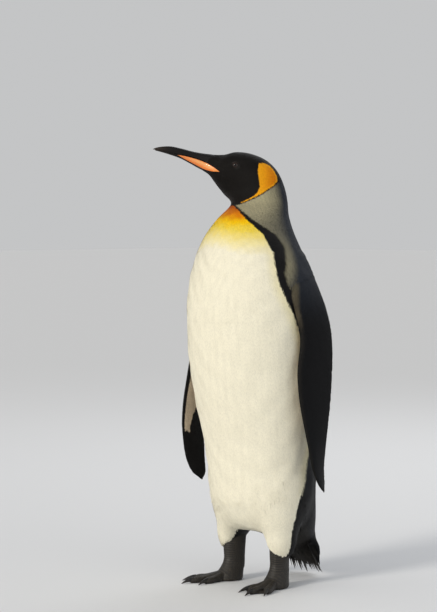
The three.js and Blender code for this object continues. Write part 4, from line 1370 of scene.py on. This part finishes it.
# %% [markdown]
# ## Materials
#
# Colour that belongs to a place, like the ear patch, is already in the mesh. The materials add what
# every feather has: a darker root and a paler tip, which is partly its own colour and partly painted shade
# where the next feathers cover the root, a little chance from one to the next, and the fine slant of the
# barbs. That is one node group, read by four plumages. Wood or paint would need other groups, but horn
# and scaly skin share the idea: they read where they are from their own attribute, so the pattern stays
# put when the bird is moved.

# %% Nodes and what they work out


def set_input(tree, socket, value):
    """Links a socket to another or gives it a number or a colour. None leaves it as it is."""
    if isinstance(value, bpy.types.NodeSocket):
        tree.links.new(value, socket)
    elif value is not None:
        socket.default_value = (*value, 1.0) if socket.type == "RGBA" else value


def add(tree, kind, inputs=(), **settings):
    """A node with settings, whose first inputs are linked or set from a list of sockets and numbers."""
    made = tree.nodes.new(kind)
    for key, value in settings.items():
        setattr(made, key, value)
    for socket, value in zip(made.inputs, inputs):
        set_input(tree, socket, value)
    return made


def sums(tree, operation, *inputs):
    """The result of one arithmetic node."""
    return add(tree, "ShaderNodeMath", inputs, operation=operation).outputs[0]


def scaled(tree, colour_socket, factor):
    """A colour times a number."""
    made = add(tree, "ShaderNodeVectorMath", (colour_socket,), operation="SCALE")
    set_input(tree, made.inputs["Scale"], factor)
    return made.outputs[0]


def blend(tree, share, first, second):
    """A colour between two colours or sockets."""
    made = add(tree, "ShaderNodeMix", (share,), data_type="RGBA")
    set_input(tree, made.inputs[6], first)
    set_input(tree, made.inputs[7], second)
    return made.outputs[2]


def ranged(tree, value, low, high, to_low=0.0, to_high=1.0):
    """An S-shaped step of a value from one range to another."""
    ends = (low, high, to_low, to_high)
    return add(tree, "ShaderNodeMapRange", (value, *ends), interpolation_type="SMOOTHSTEP").outputs[0]


def attribute(tree, name):
    """The node that reads an attribute, and its three components."""
    node = add(tree, "ShaderNodeAttribute", attribute_name=name)
    return node, *add(tree, "ShaderNodeSeparateXYZ", (node.outputs["Vector"],)).outputs


def noise(tree, scale, detail, place=None):
    """Noise of a scale at a place, which is the object's own coordinates unless it is given."""
    if place is None:
        place = add(tree, "ShaderNodeTexCoord").outputs["Object"]
    return add(tree, "ShaderNodeTexNoise", (place, None, scale, detail)).outputs[0]


# %% Groups and materials


def new_group(name, **inputs):
    """A node group with named inputs and their defaults, and the inputs' sockets inside it."""
    tree = bpy.data.node_groups.new(name, "ShaderNodeTree")
    for word, value in inputs.items():
        tree.interface.new_socket(word, in_out="INPUT", socket_type="NodeSocketFloat").default_value = value
    return tree, tree.nodes.new("NodeGroupInput").outputs


def give_out(tree, **outputs):
    """Gives a group its outputs: Color, Roughness and Height, each from a socket."""
    for word in outputs:
        kind = "NodeSocketColor" if word == "Color" else "NodeSocketFloat"
        tree.interface.new_socket(word, in_out="OUTPUT", socket_type=kind)
    wanted = tree.nodes.new("NodeGroupOutput").inputs
    for word, value in outputs.items():
        tree.links.new(value, wanted[word])


finishes = {}  # the materials made here, kept by name, because the solids' own have some of the same names


def new_material(name, group, constants=(), bump=0.0, **values):
    """Adds a finish: one Principled shader, fed by a node group's outputs of the same names."""
    made = finishes[name] = bpy.data.materials.new(name)
    made.use_nodes = True
    tree = made.node_tree
    shader = tree.nodes["Principled BSDF"]
    for key, value in constants:
        shader.inputs[key].default_value = value
    user = add(tree, "ShaderNodeGroup", node_tree=group)
    for key, value in values.items():
        user.inputs[key].default_value = value
    tree.links.new(user.outputs["Color"], shader.inputs["Base Color"])
    tree.links.new(user.outputs["Roughness"], shader.inputs["Roughness"])
    if bump:
        relief = add(tree, "ShaderNodeBump")
        relief.inputs["Strength"].default_value = bump
        relief.inputs["Distance"].default_value = 0.0003
        tree.links.new(user.outputs["Height"], relief.inputs["Height"])
        tree.links.new(relief.outputs[0], shader.inputs["Normal"])


print(len(bpy.data.materials), "materials came with the solids")

# %% [markdown]
# ### Plumage
#
# The group reads the feather's own colour and contrast from "tint", and the place on the vane from
# "vane". Dark feathers have the stronger contrast from root to tip, which gives the back its fine grey
# scaling; white ones hardly any. The darker root is partly painted shade, where the next feathers cover it.
# Dark feathers are also glossier, so roughness follows brightness, and the white ones have a little more of
# down's soft sheen at a glancing angle. Because all four plumages share the rule, no seam shows where one
# piece of coat meets the next.

# %% Plumage group and its five materials
tree, given = new_group("plumage", Contrast=1.0, Variation=0.1)
tint, _, _, _ = attribute(tree, "tint")
_, along, across, chance = attribute(tree, "vane")
across = sums(tree, "ABSOLUTE", across)
contrast = sums(tree, "MULTIPLY", tint.outputs["Alpha"], given["Contrast"])
# a darker root and a paler tip: partly the feathers' own colour, partly painted shade at the covered roots
shade = sums(tree, "MULTIPLY_ADD", ranged(tree, along, 0.3, 1.0, -1.0, 1.0), contrast, 1.0)
chanced = sums(tree, "MULTIPLY_ADD", sums(tree, "SUBTRACT", chance, 0.5), given["Variation"], 1.0)
shade = sums(tree, "MULTIPLY", shade, chanced)
shade = sums(tree, "MULTIPLY", shade, ranged(tree, across, 0.0, 0.16, 0.93, 1.0))
bright = add(tree, "ShaderNodeRGBToBW", (tint.outputs["Color"],)).outputs[0]
slant = sums(tree, "MULTIPLY_ADD", across, -0.22, along)
give_out(tree, Color=scaled(tree, tint.outputs["Color"], shade),
         Roughness=ranged(tree, bright, 0.0, 0.5, 0.50, 0.72),
         Height=sums(tree, "SINE", sums(tree, "MULTIPLY", slant, 150.0)))
for name, sheen, variation in (
    ("white_plumage", 0.05, 0.07),
    ("slate_plumage", 0.01, 0.24),
    ("silver_plumage", 0.03, 0.15),
    ("black_plumage", 0.01, 0.15),
):
    soft = (("Sheen Weight", sheen), ("Sheen Roughness", 0.5), ("Specular IOR Level", 0.10))
    new_material(name, tree, soft, 0.35, Variation=variation)
new_material("skin_under_coat", tree, (("Specular IOR Level", 0.2),), Contrast=0.0)
print("plumage group", len(tree.nodes), "nodes, read by", *finishes)

# %% [markdown]
# ### Tail feathers, horn, eyes and legs
#
# Tail feathers are nearly black, with worn brown tips and barbs that slant from a glossy shaft. Horn is
# streaked lengthwise. The bill's is almost black with a browner tip, and the plate's is orange with a paler
# middle, a painted highlight, and a deeper lower border. The eye's pattern is rings about the line of sight.

# %% Tail feathers
tree, _ = new_group("quill")
_, along, across, chance = attribute(tree, "vane")
across = sums(tree, "ABSOLUTE", across)
base = blend(tree, ranged(tree, along, 0.75, 1.0), colour(18, 17, 18), colour(52, 45, 38))
base = blend(tree, ranged(tree, across, 0.0, 0.14, 0.5, 0.0), base, colour(70, 64, 58))
slant = sums(tree, "MULTIPLY_ADD", across, -0.06, along)
give_out(tree, Color=scaled(tree, base, sums(tree, "MULTIPLY_ADD", chance, 0.6, 0.6)),
         Roughness=ranged(tree, along, 0.0, 1.0, 0.42, 0.6),
         Height=sums(tree, "SINE", sums(tree, "MULTIPLY", slant, 700.0)))
new_material("tail_quill", tree, (("Specular IOR Level", 0.4),), 0.4)
print("quill group", len(tree.nodes), "nodes")

# %% Horn of bill, plates and claws


def streaks(tree, across, up, fine):
    """Lengthwise streaks: noise that doesn't change along the horn."""
    return noise(tree, fine, 3.0, add(tree, "ShaderNodeCombineXYZ", (0.0, across, up)).outputs[0])


tree, given = new_group("black_horn", Paleness=1.0)
_, along, across, up = attribute(tree, "horn")
grain = streaks(tree, across, up, 9.0)
tip = sums(tree, "MULTIPLY", ranged(tree, along, 0.72, 1.05), given["Paleness"])
base = blend(tree, tip, colour(11, 9, 9), colour(46, 36, 30))
base = blend(tree, ranged(tree, grain, 0.45, 0.7, 0.0, 0.3), base, colour(32, 27, 24))
give_out(tree, Color=base, Roughness=ranged(tree, grain, 0.3, 0.7, 0.40, 0.56), Height=grain)
new_material("black_horn", tree, (("Specular IOR Level", 0.2),), 0.25)
new_material("claw_horn", tree, (), 0.25, Paleness=0.6)

tree, _ = new_group("plate_horn")
_, along, across, up = attribute(tree, "horn")
grain = streaks(tree, across, up, 4.0)
base = blend(tree, ranged(tree, along, 0.05, 0.7), colour(234, 130, 44), colour(230, 126, 50))
# the paler streak along the plate's middle is a painted highlight
middle = sums(tree, "ABSOLUTE", sums(tree, "SUBTRACT", across, 0.25))
pale = sums(tree, "MULTIPLY", ranged(tree, middle, 0.05, 0.6, 0.6, 0.0), ranged(tree, along, 0.05, 0.3))
base = blend(tree, sums(tree, "MULTIPLY", pale, ranged(tree, along, 0.95, 0.6)), base, colour(240, 184, 118))
base = blend(tree, ranged(tree, across, -0.55, -0.95, 0.0, 0.6), base, colour(206, 98, 34))
base = blend(tree, ranged(tree, grain, 0.45, 0.7, 0.0, 0.2), base, colour(248, 204, 146))
give_out(tree, Color=base, Roughness=ranged(tree, grain, 0.3, 0.7, 0.34, 0.46), Height=grain)
waxy = (("Subsurface Weight", 0.15), ("Subsurface Scale", 0.004), ("Coat Weight", 0.15))
new_material("plate_horn", tree, waxy, 0.15)
print("plate's group", len(tree.nodes), "nodes")

# %% Eyes and lids
tree, _ = new_group("eye")
_, sight, _, _ = attribute(tree, "sight")
base = blend(tree, ranged(tree, sight, 0.105, 0.115), colour(4, 3, 3), colour(44, 24, 14))
base = blend(tree, ranged(tree, sight, 0.15, 0.22), base, colour(8, 5, 4))
give_out(tree, Color=base, Roughness=ranged(tree, sight, 0.0, 0.4, 0.06, 0.12))
new_material("eye", tree, (("Specular IOR Level", 0.25), ("Coat Weight", 0.2), ("Coat Roughness", 0.03)))

tree, _ = new_group("lid")
grain = noise(tree, 900.0, 2.0)
give_out(tree, Color=blend(tree, grain, colour(8, 6, 5), colour(30, 22, 16)),
         Roughness=ranged(tree, grain, 0.3, 0.7, 0.4, 0.6), Height=grain)
new_material("lid", tree, (("Specular IOR Level", 0.2),), 0.5)
print("lid's group", len(tree.nodes), "nodes")

# %% Leg skin and floor
tree, _ = new_group("leg_skin")
_, relief, _, _ = attribute(tree, "scale")
place = add(tree, "ShaderNodeTexCoord").outputs["Object"]
cells = add(tree, "ShaderNodeTexVoronoi", (place, None, 520.0), feature="F1").outputs["Distance"]
patchy = noise(tree, 60.0, 3.0, place)
base = blend(tree, ranged(tree, relief, -0.2, 0.35), colour(20, 18, 15), colour(70, 63, 53))
base = blend(tree, ranged(tree, patchy, 0.45, 0.7, 0.0, 0.5), base, colour(48, 42, 34))
base = blend(tree, ranged(tree, cells, 0.3, 0.7, 0.0, 0.4), base, colour(20, 18, 17))
give_out(tree, Color=base, Roughness=ranged(tree, patchy, 0.3, 0.7, 0.46, 0.62),
         Height=sums(tree, "MULTIPLY", cells, -1.0))
new_material("leg_skin", tree, (("Specular IOR Level", 0.4),), 0.8)

tree, _ = new_group("studio")
mottle = noise(tree, 3.0, 2.0)
shade = sums(tree, "MULTIPLY", mottle, 0.02)
give_out(tree, Color=blend(tree, shade, colour(219, 220, 222), colour(212, 213, 215)),
         Roughness=ranged(tree, mottle, 0.3, 0.7, 0.855, 0.865))
new_material("floor", tree)
print(len(bpy.data.node_groups), "node groups,", len(finishes), "materials")

# %% [markdown]
# ## Handing each piece its place
#
# Every piece rides on the one body and takes its finish, by its slot's name unless another is given, and
# the solids that it stands for are hidden. Pieces of coat stand for no solid: they go on top of the skin
# that does.

# %% Ride and material of each piece, and the solids that it hides


def finish(names, slot, material=None, nodes=()):
    """Gives pieces their material, sets them riding, and hides the solids that they stand for. The material
    has the slot's name unless another is given."""
    for name in names.split():
        made = bpy.data.objects[name]
        made.data.materials.clear()
        made.data.materials.append(finishes[material or slot])
        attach(made, "root")
        if nodes:
            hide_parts(*nodes)


finish("skin", "white_plumage", "skin_under_coat",
       ("trunk", "neck", "head", "thigh_left", "thigh_right", "flipper_left", "flipper_right"))
finish("coat_belly coat_breast coat_bib coat_vent coat_thigh_left coat_thigh_right", "white_plumage")
finish("coat_rump coat_back coat_tail coat_flipper_left coat_flipper_right", "slate_plumage")
finish("coat_neck", "silver_plumage")
finish("coat_head", "black_plumage")
finish("bill_upper_horn", "black_horn", nodes=("bill_upper",))
finish("bill_lower_horn", "black_horn", nodes=("bill_lower",))
for word, _ in SIDES:
    finish("bill_plate_horn_" + word, "plate_horn", nodes=("bill_plate_" + word,))
    finish("eyeball_" + word, "eye", nodes=("eye_" + word,))
    finish("lids_" + word, "black_plumage", "lid")
    finish("leg_" + word, "leg_skin", nodes=("tarsus_" + word, "foot_" + word))
    for toe_word, _, _ in TOES:
        finish("claw_horn_" + word + "_" + toe_word, "claw_horn", nodes=("claw_" + word + "_" + toe_word,))
finish("tail_quills", "slate_plumage", "tail_quill", ("tail",))
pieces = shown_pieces()
print("pieces", len(pieces), "faces in all", sum(len(o.data.polygons) for o in pieces))

# %% [markdown]
# ## A plain studio
#
# A pale floor and a sky of nearly the same tone keep the eye on the bird. The key light is a low soft sun
# on the camera's left, so the breast is modelled by its own shade. A sun lights the whole floor evenly,
# where a lamp would leave a bright pool. Two weak lamps keep the dark side and the back readable.

# %% Floor and sky
FLOOR_HALF = 30.0
corners = [(-FLOOR_HALF, -FLOOR_HALF, 0), (FLOOR_HALF, -FLOOR_HALF, 0), (FLOOR_HALF, FLOOR_HALF, 0),
           (-FLOOR_HALF, FLOOR_HALF, 0)]
floor_mesh = bpy.data.meshes.new("floor")
floor_mesh.from_pydata(corners, [], [(0, 1, 2, 3)])
floor_mesh.materials.append(finishes["floor"])
floor = in_scene("floor", floor_mesh)
floor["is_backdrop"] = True

world = bpy.data.worlds.new("sky")
world.use_nodes = True
sky = world.node_tree.nodes["Background"]
sky.inputs["Color"].default_value = (*colour(222, 223, 224), 1.0)
sky.inputs["Strength"].default_value = 0.755
bpy.context.scene.world = world
print("floor", 2 * FLOOR_HALF, "m wide")

# %% Lights
CAMERA_AZIMUTH = math.radians(45.0)
BACK = np.array([math.sin(CAMERA_AZIMUTH), -math.cos(CAMERA_AZIMUTH), 0.0])  # from the bird to the camera
RIGHT = np.array([math.cos(CAMERA_AZIMUTH), math.sin(CAMERA_AZIMUTH), 0.0])
UP = np.array([0.0, 0.0, 1.0])
LEGS_MIDDLE = ORIGIN * [1, 1, 0]
LAMP_DISTANCE, BIRD_MIDDLE = 3.5, 0.45


def light(name, kind, direction, watts, size, tint):
    """A light that shines from a direction on the bird's middle. Its size is a sun's angle in degrees or a
    square lamp's side in metres."""
    x, y, z = unit(direction)
    data = bpy.data.lights.new(name, kind)
    if kind == "SUN":
        data.angle = math.radians(size)
    else:
        data.size = size
    data.energy = watts
    data.color = tint
    made = in_scene(name, data)
    made.location = (LEGS_MIDDLE + UP * BIRD_MIDDLE + np.array([x, y, z]) * LAMP_DISTANCE).tolist()
    made.rotation_euler = (math.acos(z), 0.0, math.atan2(x, -y))


light("key", "SUN", BACK * 0.85 - RIGHT * 0.9 + UP * 0.55, 1.85, 14.0, (1.0, 0.95, 0.86))
light("fill", "AREA", BACK * 0.9 + RIGHT * 0.7 + UP * 0.4, 12.0, 2.4, (0.92, 0.96, 1.0))
light("rim", "AREA", -BACK * 0.9 + RIGHT * 0.4 + UP * 0.9, 24.0, 1.8, (0.95, 0.97, 1.0))

# %% [markdown]
# ## The camera
#
# The bird is seen from its left front, at the height of its shoulder, from four metres, with a lens long
# enough to keep the proportions honest.

# %% Camera and the last measurements
CAMERA_AWAY, CAMERA_ASIDE, CAMERA_UP = 4.0, 0.0766, 0.74
CAMERA_DIP = math.radians(2.6)
camera_data = bpy.data.cameras.new("camera")
camera_data.sensor_width = 36.0
camera_data.lens = 117.65
camera = in_scene("camera", camera_data)
camera.location = (LEGS_MIDDLE + BACK * CAMERA_AWAY - RIGHT * CAMERA_ASIDE + UP * CAMERA_UP).tolist()
camera.rotation_euler = (math.pi / 2 - CAMERA_DIP, 0.0, CAMERA_AZIMUTH)
bpy.context.scene.camera = camera
bpy.context.scene.view_settings.view_transform = "Standard"

new_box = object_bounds()
for word, old_corner, new_corner in zip(("low", "high"), cad_box, new_box):
    print(word, "corner moved by", [round((b - a) * 1000, 1) for a, b in zip(old_corner, new_corner)], "mm")
